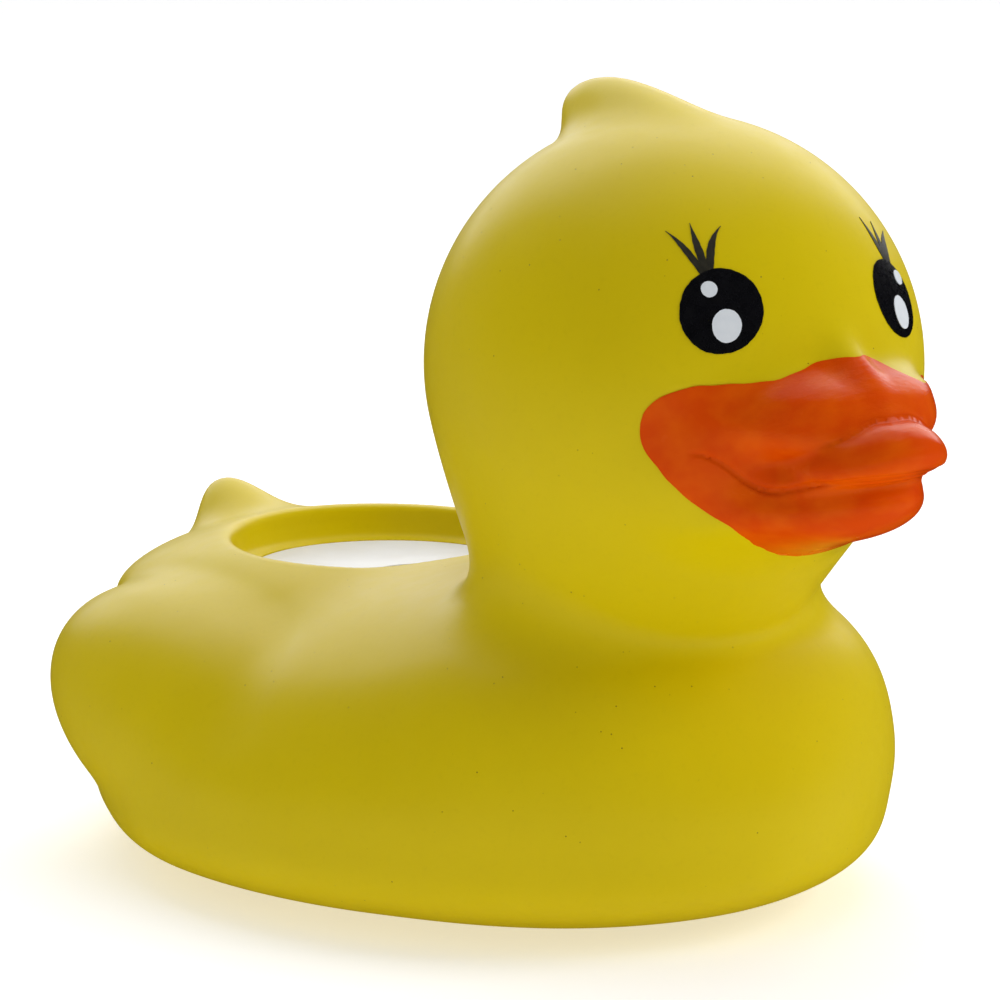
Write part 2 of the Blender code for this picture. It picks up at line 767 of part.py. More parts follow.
def build_lid(mat, part, cutters):
    under = LID_TOP - LID_THICK
    profile = [
        (0.0, LID_TOP),
        (LID_RADIUS - 0.9, LID_TOP),
        (LID_RADIUS, LID_TOP - 0.9),
        (LID_RADIUS, under),
        (SKIRT_OUTER, under),
        (SKIRT_OUTER, SEAL_Z + 1.1),
        (SKIRT_OUTER - 1.0, SEAL_Z + 1.1),
        (SKIRT_OUTER - 1.0, SEAL_Z - 1.1),
        (SKIRT_OUTER, SEAL_Z - 1.1),
        (SKIRT_OUTER, SKIRT_BOTTOM),
        (SKIRT_INNER, SKIRT_BOTTOM),
        (SKIRT_INNER, under),
        (0.0, under),
    ]
    obj = lathe("lid", profile, ROUND)
    cup_bottom = LID_TOP - GRIP_DEPTH - 2.0
    cup = cylinder(GRIP_RADIUS + 2.2, cup_bottom, under + 1.0, y=GRIP_BACK, sides=40)
    add_on(obj, cutters, "grip_cup", cup)
    for i in range(3):
        half = math.degrees(LUG_WIDTH / 2 / LUG_REACH)
        lug = sector(SKIRT_OUTER - 1.2, LUG_REACH, LUG_Z[0], LUG_Z[1], 120.0 * i - half, 2.0 * half, 2)
        add_on(obj, cutters, f"lug_{i + 1}", lug)
    well = cylinder(GRIP_RADIUS, LID_TOP - GRIP_DEPTH, LID_TOP + 3.0, y=GRIP_BACK, sides=32)
    bar = block((60.0, GRIP_BAR, 30.0), (0.0, GRIP_BACK, LID_TOP), 0.0)
    bar.name = "finger_bar"
    as_cutter(bar, cutters)
    boolean(well, bar, "DIFFERENCE")
    cut(obj, cutters, "finger_wells", well)
    return finish(obj, "lid", mat, part)


def build_seal(mat, part):
    profile = []
    for i in range(6):
        angle = -2.0 * math.pi * i / 6
        profile.append((SEAL_RING + SEAL_RADIUS * math.cos(angle), SEAL_Z + SEAL_RADIUS * math.sin(angle)))
    return finish(lathe("lid_seal", profile, ROUND), "lid_seal", mat, part)


def main():
    clear_scene()
    part = new_collection("floating_chlorine_dispenser", False)
    cutters = new_collection("cutters", True)
    vinyl = material("yellow_vinyl", (0.62, 0.44, 0.01), 0.45)
    white = material("white_polypropylene", (0.80, 0.80, 0.79), 0.4)
    dark = material("black_rubber", (0.03, 0.03, 0.03), 0.7)
    plug = material("plug_vinyl", (0.58, 0.40, 0.01), 0.55)
    steel = material("stainless_steel", (0.62, 0.62, 0.62), 0.3, 1.0)
    ballast = material("ballast_steel", (0.45, 0.45, 0.46), 0.45, 1.0)
    build_float(vinyl, part, cutters)
    build_vent_plug(plug, part)
    build_canister(white, part, cutters)
    build_gasket(dark, part)
    build_locking_ring(white, part, cutters)
    build_ballast(ballast, part)
    build_grille(white, part, cutters)
    build_dial(white, part, cutters)
    build_pivot(steel, part)
    build_grille_screws(steel, part)
    build_lid(white, part, cutters)
    build_seal(dark, part)


main()
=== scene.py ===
"""Looks for the floating chlorine dispenser: the duck float's fine skin and paint, the lid and the
working parts under it, on a pale studio floor. Lengths are in millimetres until a mesh is made.

The duck's forms are placed as (side, forward, up) from the foot of the well's axis. The duck faces -Y.
"""

import math

import bmesh
import bpy
import numpy as np
from mathutils import Matrix, Vector


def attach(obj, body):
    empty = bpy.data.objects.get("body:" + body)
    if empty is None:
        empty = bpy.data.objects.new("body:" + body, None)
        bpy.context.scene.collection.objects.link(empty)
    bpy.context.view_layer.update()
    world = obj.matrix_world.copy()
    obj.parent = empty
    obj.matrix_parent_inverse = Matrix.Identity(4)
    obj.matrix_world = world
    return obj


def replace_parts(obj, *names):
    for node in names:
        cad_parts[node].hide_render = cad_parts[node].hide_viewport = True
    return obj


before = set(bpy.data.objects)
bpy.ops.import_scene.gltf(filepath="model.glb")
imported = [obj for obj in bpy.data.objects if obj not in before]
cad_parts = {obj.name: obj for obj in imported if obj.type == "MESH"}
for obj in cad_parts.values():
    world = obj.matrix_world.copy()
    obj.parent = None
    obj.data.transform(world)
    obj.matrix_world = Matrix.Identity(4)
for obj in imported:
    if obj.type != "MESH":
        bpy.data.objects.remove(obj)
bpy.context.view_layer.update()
BASE = "float_and_canister"
MM = 0.001
AXIS_Y = 66.7
COARSE = 4.0
FINE = 1.5

HULL_CENTRE = (0.0, 21.9, 28.3)
HULL_WIDTH, HULL_FRONT, HULL_BACK, HULL_UP, HULL_DOWN = 104.6, 152.6, 117.4, 37.5, 30.7
PLAN_POWER, SIDE_POWER, HULL_TAPER = 1.82, 3.05, 0.00114
DECK = ((0.0, -2.8, 69.0), (78.4, 81.3, 25.4))
CHEST = ((0.0, 107.1, 57.9), (76.5, 57.2, 42.3))
FLANK = ((30.0, 66.0, 47.0), (64.0, 66.0, 38.0))
WING = ((64.6, 12.6, 42.6), (39.6, 75.4, 37.2), -10.4)
WING_CREASE = 1.9             # how deep the body is pressed in along the wing's edge
TAIL = ((0.0, -71.9, 81.4), (10.1, 17.1, 9.5), -43.0)
NECK = ((0.0, 118.4, 106.0), (48.9, 38.1, 47.4))
HEAD = ((0.0, 128.2, 156.1), (68.2, 69.3, 68.8))
CREST = ((0.0, 110.6, 217.7), (11.4, 27.9, 14.0), -12.0)
MUZZLE = ((0.0, 163.4, 138.6), (49.6, 36.2, 30.0))
UPPER_BILL = ((0.0, 179.9, 152.0), (36.2, 36.2, 12.4), -10.0)
BILL_BROW = ((0.0, 192.0, 155.5), (28.5, 20.6, 8.4), -6.0)
BILL_RIDGE = ((0.0, 196.5, 158.5), (7.6, 20.0, 10.2), -40.0)
BRIM = ((0.0, 203.8, 143.8), (22.0, 24.0, 9.9), 0.0)
BRIM_DROOP = 0.0098           # how the rolled brim bends down to the sides, per millimetre squared
MOUTH_CORE = ((0.0, 193.4, 134.6), (25.5, 21.0, 7.0), 0.0)
LOWER_BILL = ((0.0, 179.9, 126.1), (34.1, 32.1, 12.4), 3.0)
LOWER_BRIM = ((0.0, 199.4, 128.0), (20.0, 18.5, 8.3), 5.0)
MOUTH_HEIGHT, MOUTH_DEPTH = 137.6, 3.0
BROW_FOLD_HEIGHT, BROW_FOLD_DEPTH = 151.8, 2.6

RIM_Z, RIM_RADIUS = 89.6, 45.5
LIP_RADIUS, LIP_TOP, GROOVE_TOP, GROOVE_RADIUS = 40.7, 79.8, 75.9, 43.6
SHOULDER_Z, BORE_RADIUS = 72.0, 40.9
POCKET_RADIUS, POCKET_Z = 48.6, 7.0
VENT_FORWARD, VENT_HEAD_RADIUS, VENT_HEAD_DEPTH, VENT_RADIUS = 84.0, 7.2, 2.4, 4.0
UNDERLAY = 4.6                # the vinyl is let in this deep under the middle of the bill's paint
PAINT_PROUD = 0.18
FACE_FORWARD = 186.0          # about how far forward the eyes' part of the face is


# ------------------------------------------------------------ distances to the duck's forms

def egg(points, centre, radii, pitch=0.0):
    """Distance from points to an egg whose nose is pitched up or down, in degrees."""
    q = points - np.array(centre)
    angle = math.radians(pitch)
    forward = q[:, 1] * math.cos(angle) + q[:, 2] * math.sin(angle)
    up = q[:, 2] * math.cos(angle) - q[:, 1] * math.sin(angle)
    q = np.stack([q[:, 0], forward, up], axis=1)
    sizes = np.array(radii)
    near = np.sqrt(((q / sizes) ** 2).sum(axis=1))
    slope = np.sqrt(((q / sizes ** 2) ** 2).sum(axis=1))
    return near * (near - 1.0) / np.maximum(slope, 1e-9)


def melt(first, second, width):
    """Joins two forms with a soft fillet of the given width."""
    mix = np.clip(0.5 + 0.5 * (second - first) / width, 0.0, 1.0)
    return second + (first - second) * mix - width * mix * (1.0 - mix)


def carve(first, second, width):
    """Keeps what two forms share, with a soft edge of the given width where they meet."""
    return -melt(-first, -second, width)


def smooth(value, low, high):
    t = np.clip((value - low) / (high - low), 0.0, 1.0)
    return t * t * (3.0 - 2.0 * t)


def hull(points):
    """Distance to the body's lower half: a rounded lens, fuller and wider towards its front."""
    forward = points[:, 1] - HULL_CENTRE[1]
    up = points[:, 2] - HULL_CENTRE[2]
    side = points[:, 0] / (1.0 + HULL_TAPER * np.clip(forward, -160.0, 160.0))
    length = np.where(forward > 0.0, HULL_FRONT, HULL_BACK)
    height = np.where(up > 0.0, HULL_UP, HULL_DOWN)
    u = np.maximum(np.abs(side) / HULL_WIDTH, 1e-6)
    v = np.maximum(np.abs(forward) / length, 1e-6)
    w = np.maximum(np.abs(up) / height, 1e-6)
    plan = u ** PLAN_POWER + v ** PLAN_POWER
    total = plan ** (SIDE_POWER / PLAN_POWER) + w ** SIDE_POWER
    reach = total ** (1.0 / SIDE_POWER)
    gain = reach / total * plan ** (SIDE_POWER / PLAN_POWER - 1.0)
    slope_u = gain * u ** (PLAN_POWER - 1.0) / HULL_WIDTH
    slope_v = gain * v ** (PLAN_POWER - 1.0) / length
    slope_w = reach / total * w ** (SIDE_POWER - 1.0) / height
    return (reach - 1.0) / np.maximum(np.sqrt(slope_u ** 2 + slope_v ** 2 + slope_w ** 2), 1e-9)


def body_form(points):
    form = melt(hull(points), egg(points, *DECK), 20.7)
    form = melt(form, egg(points, *CHEST), 31.0)
    form = melt(form, egg(points, *FLANK), 10.0)
    wing = egg(points, *WING)
    reach = points[:, 1] - 0.8 * (points[:, 2] - 60.0)
    crease = WING_CREASE * np.exp(-(wing / 6.0) ** 2) * (1.0 - smooth(reach, 5.0, 58.0))
    form = melt(form + crease, wing, 4.6)
    return melt(form, egg(points, *TAIL), 16.5)


def head_form(points):
    form = melt(egg(points, *HEAD), egg(points, *NECK), 24.8)
    return melt(form, egg(points, *CREST), 10.3)


def bill_form(points):
    upper = melt(egg(points, *UPPER_BILL), egg(points, *BILL_BROW), 8.0)
    upper = melt(upper, egg(points, *BILL_RIDGE), 4.0)
    drooped = points + np.outer(BRIM_DROOP * points[:, 0] ** 2, (0.0, 0.0, 1.0))
    upper = melt(upper, egg(drooped, *BRIM), 2.6)
    lower = melt(egg(points, *LOWER_BILL), egg(points, *LOWER_BRIM), 6.0)
    lower = melt(lower, egg(points, *MOUTH_CORE), 3.0)
    return melt(melt(upper, lower, 2.4), egg(points, *MUZZLE), 9.3)


def mouth_line(side):
    """Height of the line between the upper and lower bill at a distance from the middle."""
    return MOUTH_HEIGHT - 4.4 * np.exp(-((side - 26.0) / 7.5) ** 2) + 5.5 * smooth(side, 26.0, 42.0)


def brow_line(side):
    """Height of the fold between the top of the bill and the rolled brim of its upper half."""
    return BROW_FOLD_HEIGHT - 6.0 * smooth(side, 4.0, 22.0)


def fold(form, off_line, half, depth, fade):
    """Presses a soft fold of a half-width and a depth into the form where off_line is near nought."""
    width = 0.2 + 1.4 * fade
    groove = np.minimum(half - np.abs(off_line), form + depth * fade - width)
    return np.where(fade > 0.0, carve(form, groove, width), form)


def with_folds(form, points):
    side, forward, up = points.T
    near = np.clip((forward - 165.0) / 10.0, 0.0, 1.0)
    fade = np.clip((43.5 - side) / 10.0, 0.0, 1.0) * near
    depth = MOUTH_DEPTH - 1.2 * smooth(-side, -24.0, -14.0)
    form = fold(form, up - mouth_line(side), 0.6 + 0.4 * smooth(-side, -24.0, -14.0), depth, fade)
    fade = np.clip((23.0 - side) / 13.0, 0.0, 1.0) * np.clip((forward - 198.0) / 8.0, 0.0, 1.0)
    return fold(form, up - brow_line(side), 0.5, BROW_FOLD_DEPTH, fade)


def duck_form(points, mouth=True):
    """Distance from points (side, forward, up) to the whole duck, without its well."""
    side = points[:, 0] ** 2
    share = side / (side + (points[:, 1] - 117.0) ** 2 + 27.0)
    form = melt(body_form(points), head_form(points), 5.5 + 15.0 * share ** 2)
    form = melt(form, bill_form(points), 6.2)
    if mouth:
        form = with_folds(form, points)
    return carve(form, -points[:, 2], 1.4)


def recess_form(points):
    """The recess in the back: a wall that flares to the rim, over a soft ledge round the lid."""
    across = np.hypot(points[:, 0], points[:, 1])
    wall = RIM_RADIUS - 1.2 + 1.2 * smooth(points[:, 2], LIP_TOP + 2.0, RIM_Z - 3.0)
    ledge = LIP_TOP + 0.6 * smooth(across, LIP_RADIUS, LIP_RADIUS + 1.6)
    return carve(across - wall, ledge - points[:, 2], 3.0)


def float_form(points):
    return carve(duck_form(points, mouth=False), -recess_form(points), 4.2)


def duck_points(place):
    return np.stack([np.abs(place[:, 0]), AXIS_Y - place[:, 1], place[:, 2]], axis=1)


def duck_level(place):
    return duck_form(duck_points(place))


def float_level(place):
    """The float's skin in row coordinates, let in where the bill's paint lies over it."""
    under = smooth(-paint_edge(place), 0.2, 3.6)
    return float_form(duck_points(place)) + UNDERLAY * under


def slope_of(place, level):
    slope = np.zeros_like(place)
    for axis in range(3):
        nudge = np.zeros(3)
        nudge[axis] = 0.1
        slope[:, axis] = (level(place + nudge) - level(place - nudge)) / 0.2
    return slope


def step_to(place, level):
    slope = slope_of(place, level)
    steep = np.maximum((slope ** 2).sum(axis=1), 0.25)
    return place - np.clip(level(place) / steep, -4.0, 4.0)[:, None] * slope


# ------------------------------------------------------------ the bill's painted edge

BILL_OUTLINE = [
    (0.0, 167.0), (8.3, 166.3), (15.5, 164.2), (23.8, 162.1), (35.2, 161.2), (41.4, 160.6),
    (47.6, 157.7), (50.7, 153.0), (50.7, 145.8), (48.1, 139.6), (44.0, 133.4), (37.2, 126.7),
    (27.9, 119.4), (19.6, 115.3), (12.4, 112.7), (5.2, 111.3), (0.0, 110.9),
]
LEFT_DROP, LEFT_SHRINK = 4.4, 0.08    # the masked edge is lower and further in on the left cheek


def rounded(points, steps=5):
    """A smooth line through the points."""
    ends = np.vstack([points[0] * (-1.0, 1.0), points, points[-1] * (-1.0, 1.0)])
    ends[0, 0], ends[-1, 0] = -points[1, 0], -points[-2, 0]
    ends[0, 1], ends[-1, 1] = points[1, 1], points[-2, 1]
    line = []
    for a, b, c, d in zip(ends[:-3], ends[1:-2], ends[2:-1], ends[3:]):
        for t in np.arange(steps) / steps:
            bend = 2 * a - 5 * b + 4 * c - d
            twist = 3 * b - a - 3 * c + d
            line.append(0.5 * (2 * b + (c - a) * t + bend * t ** 2 + twist * t ** 3))
    return np.array(line + [points[-1]])


def paint_edge(place):
    """Distance outside (+) or inside (-) the bill's sprayed outline, seen from the front."""
    side = np.abs(place[:, 0]) * (1.0 + LEFT_SHRINK * smooth(place[:, 0], 12.0, 40.0))
    drop = LEFT_DROP * smooth(place[:, 0], 2.0, 25.0) * smooth(place[:, 2], 135.0, 150.0)
    wave = 0.07 * np.sin(side * 0.9 + place[:, 2] * 0.31) + 0.04 * np.sin(place[:, 2] * 1.3)
    up = place[:, 2] + drop + wave
    outline = rounded(np.array(BILL_OUTLINE))
    first, second = outline[:-1], outline[1:]
    best = np.full(len(side), 1e9)
    inside = np.zeros(len(side), bool)
    for (x0, z0), (x1, z1) in zip(first, second):
        dx, dz = x1 - x0, z1 - z0
        t = np.clip(((side - x0) * dx + (up - z0) * dz) / (dx * dx + dz * dz), 0.0, 1.0)
        best = np.minimum(best, np.hypot(side - x0 - t * dx, up - z0 - t * dz))
        crosses = (z0 > up) != (z1 > up)
        reach = x0 + dx * (up - z0) / (dz if dz else 1e-9)
        inside ^= crosses & (side < reach)
    edge = np.where(inside, -best, best)
    behind = 150.0 - (AXIS_Y - place[:, 1])
    return np.maximum(edge, behind)


# ------------------------------------------------------------ mesh helpers

def new_object(name, places, faces):
    mesh = bpy.data.meshes.new(name)
    corners = [tuple(p) for p in np.asarray(places) * MM]
    mesh.from_pydata(corners, [], [tuple(map(int, face)) for face in faces])
    mesh.update()
    obj = bpy.data.objects.new(name, mesh)
    bpy.context.scene.collection.objects.link(obj)
    return obj


def bake(obj):
    graph = bpy.context.evaluated_depsgraph_get()
    mesh = bpy.data.meshes.new_from_object(obj.evaluated_get(graph))
    obj.modifiers.clear()
    obj.data = mesh


def remesh(obj, step):
    skin = obj.modifiers.new("Skin", "REMESH")
    skin.mode = "VOXEL"
    skin.voxel_size = step * MM
    bake(obj)


def places_of(mesh):
    flat = np.zeros(len(mesh.vertices) * 3)
    mesh.vertices.foreach_get("co", flat)
    return flat.reshape(-1, 3) / MM


def put_places(mesh, places):
    mesh.vertices.foreach_set("co", (places * MM).ravel())
    mesh.update()


def settle(obj, level, rounds, ease=0.4, reach=1e9):
    """Moves a skin's points on to the level surface, evening them out on the way."""
    mesh = obj.data
    places = places_of(mesh)
    count = len(places)
    moving = (np.abs(level(places)) < reach)[:, None]
    pairs = np.zeros(len(mesh.edges) * 2, dtype=np.int32)
    mesh.edges.foreach_get("vertices", pairs)
    first, second = pairs.reshape(-1, 2).T
    degree = np.maximum(np.bincount(pairs, minlength=count), 1)[:, None]
    for turn in range(rounds):
        moved = step_to(places, level)
        if turn < rounds - 2:
            total = np.stack([
                np.bincount(first, moved[second, axis], count)
                + np.bincount(second, moved[first, axis], count)
                for axis in range(3)
            ], axis=1)
            moved = moved + ease * (total / degree - moved)
        places = np.where(moving, moved, places)
    put_places(mesh, places)


def smooth_shading(obj, angle=180.0):
    mesh = obj.data
    mesh.polygons.foreach_set("use_smooth", [True] * len(mesh.polygons))
    if angle < 180.0:
        build = bmesh.new()
        build.from_mesh(mesh)
        for edge in build.edges:
            edge.smooth = edge.calc_face_angle(0.0) < math.radians(angle)
        build.to_mesh(mesh)
        build.free()
    mesh.update()


# ------------------------------------------------------------ the float's skin

def stand_egg(centre, radii, pitch=0.0, side=1.0):
    bpy.ops.mesh.primitive_uv_sphere_add(segments=48, ring_count=32, radius=1.0)
    obj = bpy.context.object
    obj.scale = [radius * MM for radius in radii]
    obj.rotation_euler = (-math.radians(pitch), 0.0, 0.0)
    obj.location = (side * centre[0] * MM, (AXIS_Y - centre[1]) * MM, centre[2] * MM)
    return obj


def combine(obj, tool, operation):
    change = obj.modifiers.new("Change", "BOOLEAN")
    change.operation = operation
    change.solver = "EXACT"
    change.object = tool
    bake(obj)
    bpy.data.objects.remove(tool, do_unlink=True)


def cylinder(radius, low, high, x=0.0, y=0.0, sides=96):
    bpy.ops.mesh.primitive_cylinder_add(
        vertices=sides,
        radius=radius * MM,
        depth=(high - low) * MM,
        location=(x * MM, (AXIS_Y + y) * MM, (low + high) / 2 * MM),
    )
    return bpy.context.object


def box(low, high):
    bpy.ops.mesh.primitive_cube_add(size=1.0)
    obj = bpy.context.object
    low, high = np.array(low), np.array(high)
    obj.scale = (high - low) * MM
    obj.location = (low + high) / 2 * MM
    return obj


def lathe(name, profile, sides=144, y=0.0):
    """A closed turned body: its profile runs (radius, height) round the section once."""
    rings = len(profile)
    pairs = zip(profile, profile[1:] + profile[:1])
    turn = sum(first[0] * second[1] - second[0] * first[1] for first, second in pairs)
    facing = -1 if turn > 0.0 else 1      # so that either way round, the faces look outwards
    places, faces = [], []
    index = {}
    for i, (radius, height) in enumerate(profile):
        if radius < 1e-6:
            index[i] = [len(places)] * sides
            places.append((0.0, AXIS_Y + y, height))
            continue
        index[i] = list(range(len(places), len(places) + sides))
        for k in range(sides):
            angle = 2.0 * math.pi * k / sides
            places.append((radius * math.cos(angle), AXIS_Y + y + radius * math.sin(angle), height))
    for i in range(rings):
        j = (i + 1) % rings
        if profile[i][0] < 1e-6 and profile[j][0] < 1e-6:
            continue
        for k in range(sides):
            n = (k + 1) % sides
            ring = [index[i][k], index[j][k], index[j][n], index[i][n]]
            corners = list(dict.fromkeys(ring))
            faces.append(corners[::facing])
    return new_object(name, places, faces)


def build_duck():
    """The duck as one even closed blob, settled on its forms, with nothing cut in it yet."""
    middle = (0.0, HULL_CENTRE[1] + (HULL_FRONT - HULL_BACK) / 2, 31.0)
    hull_egg = (middle, (HULL_WIDTH * 0.94, (HULL_FRONT + HULL_BACK) / 2, 32.0))
    forms = [hull_egg, DECK, CHEST, WING, TAIL, NECK, HEAD, CREST]
    forms += [MUZZLE, UPPER_BILL, BILL_BROW, BILL_RIDGE, BRIM, MOUTH_CORE, LOWER_BILL, LOWER_BRIM]
    pieces = [stand_egg(*form) for form in forms] + [stand_egg(*WING, side=-1.0)]
    bpy.ops.object.select_all(action="DESELECT")
    for piece in pieces:
        piece.select_set(True)
    bpy.context.view_layer.objects.active = pieces[0]
    bpy.ops.object.join()
    obj = bpy.context.object
    bpy.ops.object.transform_apply(location=True, rotation=True, scale=True)
    remesh(obj, COARSE)
    settle(obj, duck_level, 10)
    return obj


def well_profile():
    """The stepped bore: from the recess, past the flange's groove, to the nut's pocket below."""
    return [
        (0.0, 110.0),
        (LIP_RADIUS, 110.0),
        (LIP_RADIUS, GROOVE_TOP),
        (GROOVE_RADIUS, GROOVE_TOP),
        (GROOVE_RADIUS, SHOULDER_Z),
        (BORE_RADIUS, SHOULDER_Z),
        (BORE_RADIUS, POCKET_Z),
        (POCKET_RADIUS, POCKET_Z),
        (POCKET_RADIUS, 0.8),
        (POCKET_RADIUS + 0.8, -0.2),
        (POCKET_RADIUS + 0.8, -5.0),
        (0.0, -5.0),
    ]


def copy_of(obj, name):
    copy = bpy.data.objects.new(name, obj.data.copy())
    bpy.context.scene.collection.objects.link(copy)
    return copy


def build_skin(duck):
    """The float's fine outer skin, with its recess, its well and the vent's hole cut in."""
    obj = copy_of(duck, "duck_float_skin")
    combine(obj, cylinder(RIM_RADIUS - 1.5, LIP_TOP, 110.0), "DIFFERENCE")
    remesh(obj, FINE)
    settle(obj, float_level, 8, 0.25)
    combine(obj, lathe("well", well_profile(), 192), "DIFFERENCE")
    vent = [
        (0.0, 18.0),
        (VENT_RADIUS, 18.0),
        (VENT_RADIUS, VENT_HEAD_DEPTH),
        (VENT_HEAD_RADIUS, VENT_HEAD_DEPTH),
        (VENT_HEAD_RADIUS, 0.4),
        (VENT_HEAD_RADIUS + 0.5, -0.1),
        (VENT_HEAD_RADIUS + 0.5, -5.0),
        (0.0, -5.0),
    ]
    combine(obj, lathe("vent", vent, 64, y=-VENT_FORWARD), "DIFFERENCE")
    smooth_shading(obj, 38.0)
    return obj


def cut_along(obj, edge_distance):
    """Splits the faces along the line where the distance is nought and drops the outside."""
    build = bmesh.new()
    build.from_mesh(obj.data)
    build.verts.ensure_lookup_table()
    value = edge_distance(places_of(obj.data))
    layer = build.verts.layers.float.new("edge")
    for vert, number in zip(build.verts, value):
        vert[layer] = number if abs(number) > 0.04 else math.copysign(0.04, number)
    made = set()
    for edge in list(build.edges):
        a, b = edge.verts
        if a[layer] * b[layer] < 0.0:
            _, vert = bmesh.utils.edge_split(edge, a, a[layer] / (a[layer] - b[layer]))
            vert[layer] = 0.0
            made.add(vert)
    for face in list(build.faces):
        ends = [v for v in face.verts if v in made]
        if len(ends) == 2:
            try:
                bmesh.utils.face_split(face, ends[0], ends[1])
            except ValueError:
                pass
    outside = [f for f in build.faces if sum(v[layer] for v in f.verts) > 0.0]
    bmesh.ops.delete(build, geom=outside, context="FACES")
    loose = [v for v in build.verts if not v.link_faces]
    bmesh.ops.delete(build, geom=loose, context="VERTS")
    build.verts.layers.float.remove(layer)
    build.to_mesh(obj.data)
    build.free()


def thicken(obj, depth):
    """Gives a coat its thickness, down into the surface under it, so that it is closed."""
    coat = obj.modifiers.new("Coat", "SOLIDIFY")
    coat.thickness = depth * MM
    coat.offset = -1.0
    bake(obj)


def build_bill_paint(duck):
    """The bill's sprayed coat: its own fine skin, a coat's thickness proud of the vinyl."""
    obj = copy_of(duck, "bill_paint")
    combine(obj, box((-62.0, -170.0, 98.0), (62.0, AXIS_Y - 141.0, 180.0)), "INTERSECT")
    level = lambda place: duck_level(place) - PAINT_PROUD
    remesh(obj, 1.7)
    settle(obj, level, 8, 0.3, reach=5.0)
    remesh(obj, 0.65)
    settle(obj, level, 6, 0.25, reach=5.0)
    cut_along(obj, lambda place: np.maximum(paint_edge(place), np.abs(level(place)) - 2.0))
    thicken(obj, 0.5)
    smooth_shading(obj, 60.0)
    return obj


# ------------------------------------------------------------ the painted eyes

def lay_on_head(side, up, proud):
    """Points on the duck's face at places seen from the front, a little proud of the vinyl."""
    place = np.stack([side, np.full(len(side), AXIS_Y - FACE_FORWARD), up], axis=1)
    nudge = np.array([0.0, 0.1, 0.0])
    for _ in range(14):
        value = duck_level(place) - proud
        slope = (duck_level(place + nudge) - duck_level(place - nudge)) / 0.2
        place[:, 1] -= np.clip(value / np.where(np.abs(slope) < 0.25, 0.25, slope), -5.0, 5.0)
    return place


def painted_disc(name, centre, across, upward, proud, wobble=0.0, seed=0.0, rings=16, sides=112):
    """An oval of paint given by its middle and its two half-widths, as seen from the front."""
    turns = np.arange(sides) * 2.0 * math.pi / sides
    rough = 0.45 * np.sin(3 * turns + seed) + 0.3 * np.sin(7 * turns + 2 * seed)
    rough += 0.25 * np.sin(19 * turns + seed)
    rough += 0.22 * np.sin(31 * turns + 3 * seed)
    side, up = [centre[0]], [centre[1]]
    for ring in range(1, rings + 1):
        reach = ring / rings
        swell = reach * (1.0 + wobble * rough * reach ** 3)
        side.extend(centre[0] + swell * (across[0] * np.cos(turns) + upward[0] * np.sin(turns)))
        up.extend(centre[1] + swell * (across[1] * np.cos(turns) + upward[1] * np.sin(turns)))
    places = lay_on_head(np.array(side), np.array(up), proud)
    faces = [(0, 1 + k, 1 + (k + 1) % sides) for k in range(sides)]
    for ring in range(rings - 1):
        for k in range(sides):
            a, b = 1 + ring * sides + k, 1 + ring * sides + (k + 1) % sides
            faces.append((a, a + sides, b + sides, b))
    return closed_paint(new_object(name, places, faces), proud)


def closed_paint(obj, proud):
    """Turns a paint patch to face outwards and closes it a little way into the vinyl."""
    build = bmesh.new()
    build.from_mesh(obj.data)
    bmesh.ops.recalc_face_normals(build, faces=build.faces)
    total = sum((face.normal * face.calc_area() for face in build.faces), Vector())
    if total.y > 0.0:
        bmesh.ops.reverse_faces(build, faces=build.faces)
    build.to_mesh(obj.data)
    build.free()
    thicken(obj, proud + 0.2)
    smooth_shading(obj, 50.0)
    return obj


def painted_lash(name, root, bend, tip, width, proud):
    """One brushed lash, widest below its middle and drawn out to a point."""
    root, bend, tip = (np.array(point) for point in (root, bend, tip))
    pull = 2.0 * bend - (root + tip) / 2.0
    along = np.linspace(0.0, 1.0, 28)[:, None]
    line = (1.0 - along) ** 2 * root + 2.0 * along * (1.0 - along) * pull + along ** 2 * tip
    run = np.gradient(line, axis=0)
    run /= np.linalg.norm(run, axis=1)[:, None]
    across = np.stack([-run[:, 1], run[:, 0]], axis=1)
    share = along[:, 0]
    belly = 0.72 + 0.5 * np.sin(math.pi * np.clip(share * 1.15, 0, 1))
    half = width / 2.0 * belly * (1.0 - share ** 2.6)
    half = np.maximum(half, 0.05)
    half *= 1.0 + 0.05 * np.sin(share * 37.0 + root[0])
    steps = np.linspace(-1.0, 1.0, 5)
    rows = [line + across * (half * step)[:, None] for step in steps]
    flat = np.stack(rows, axis=1).reshape(-1, 2)
    places = lay_on_head(flat[:, 0], flat[:, 1], proud)
    wide = len(steps)
    faces = [
        (i * wide + k, i * wide + k + 1, (i + 1) * wide + k + 1, (i + 1) * wide + k)
        for i in range(len(line) - 1)
        for k in range(wide - 1)
    ]
    return closed_paint(new_object(name, places, faces), proud)


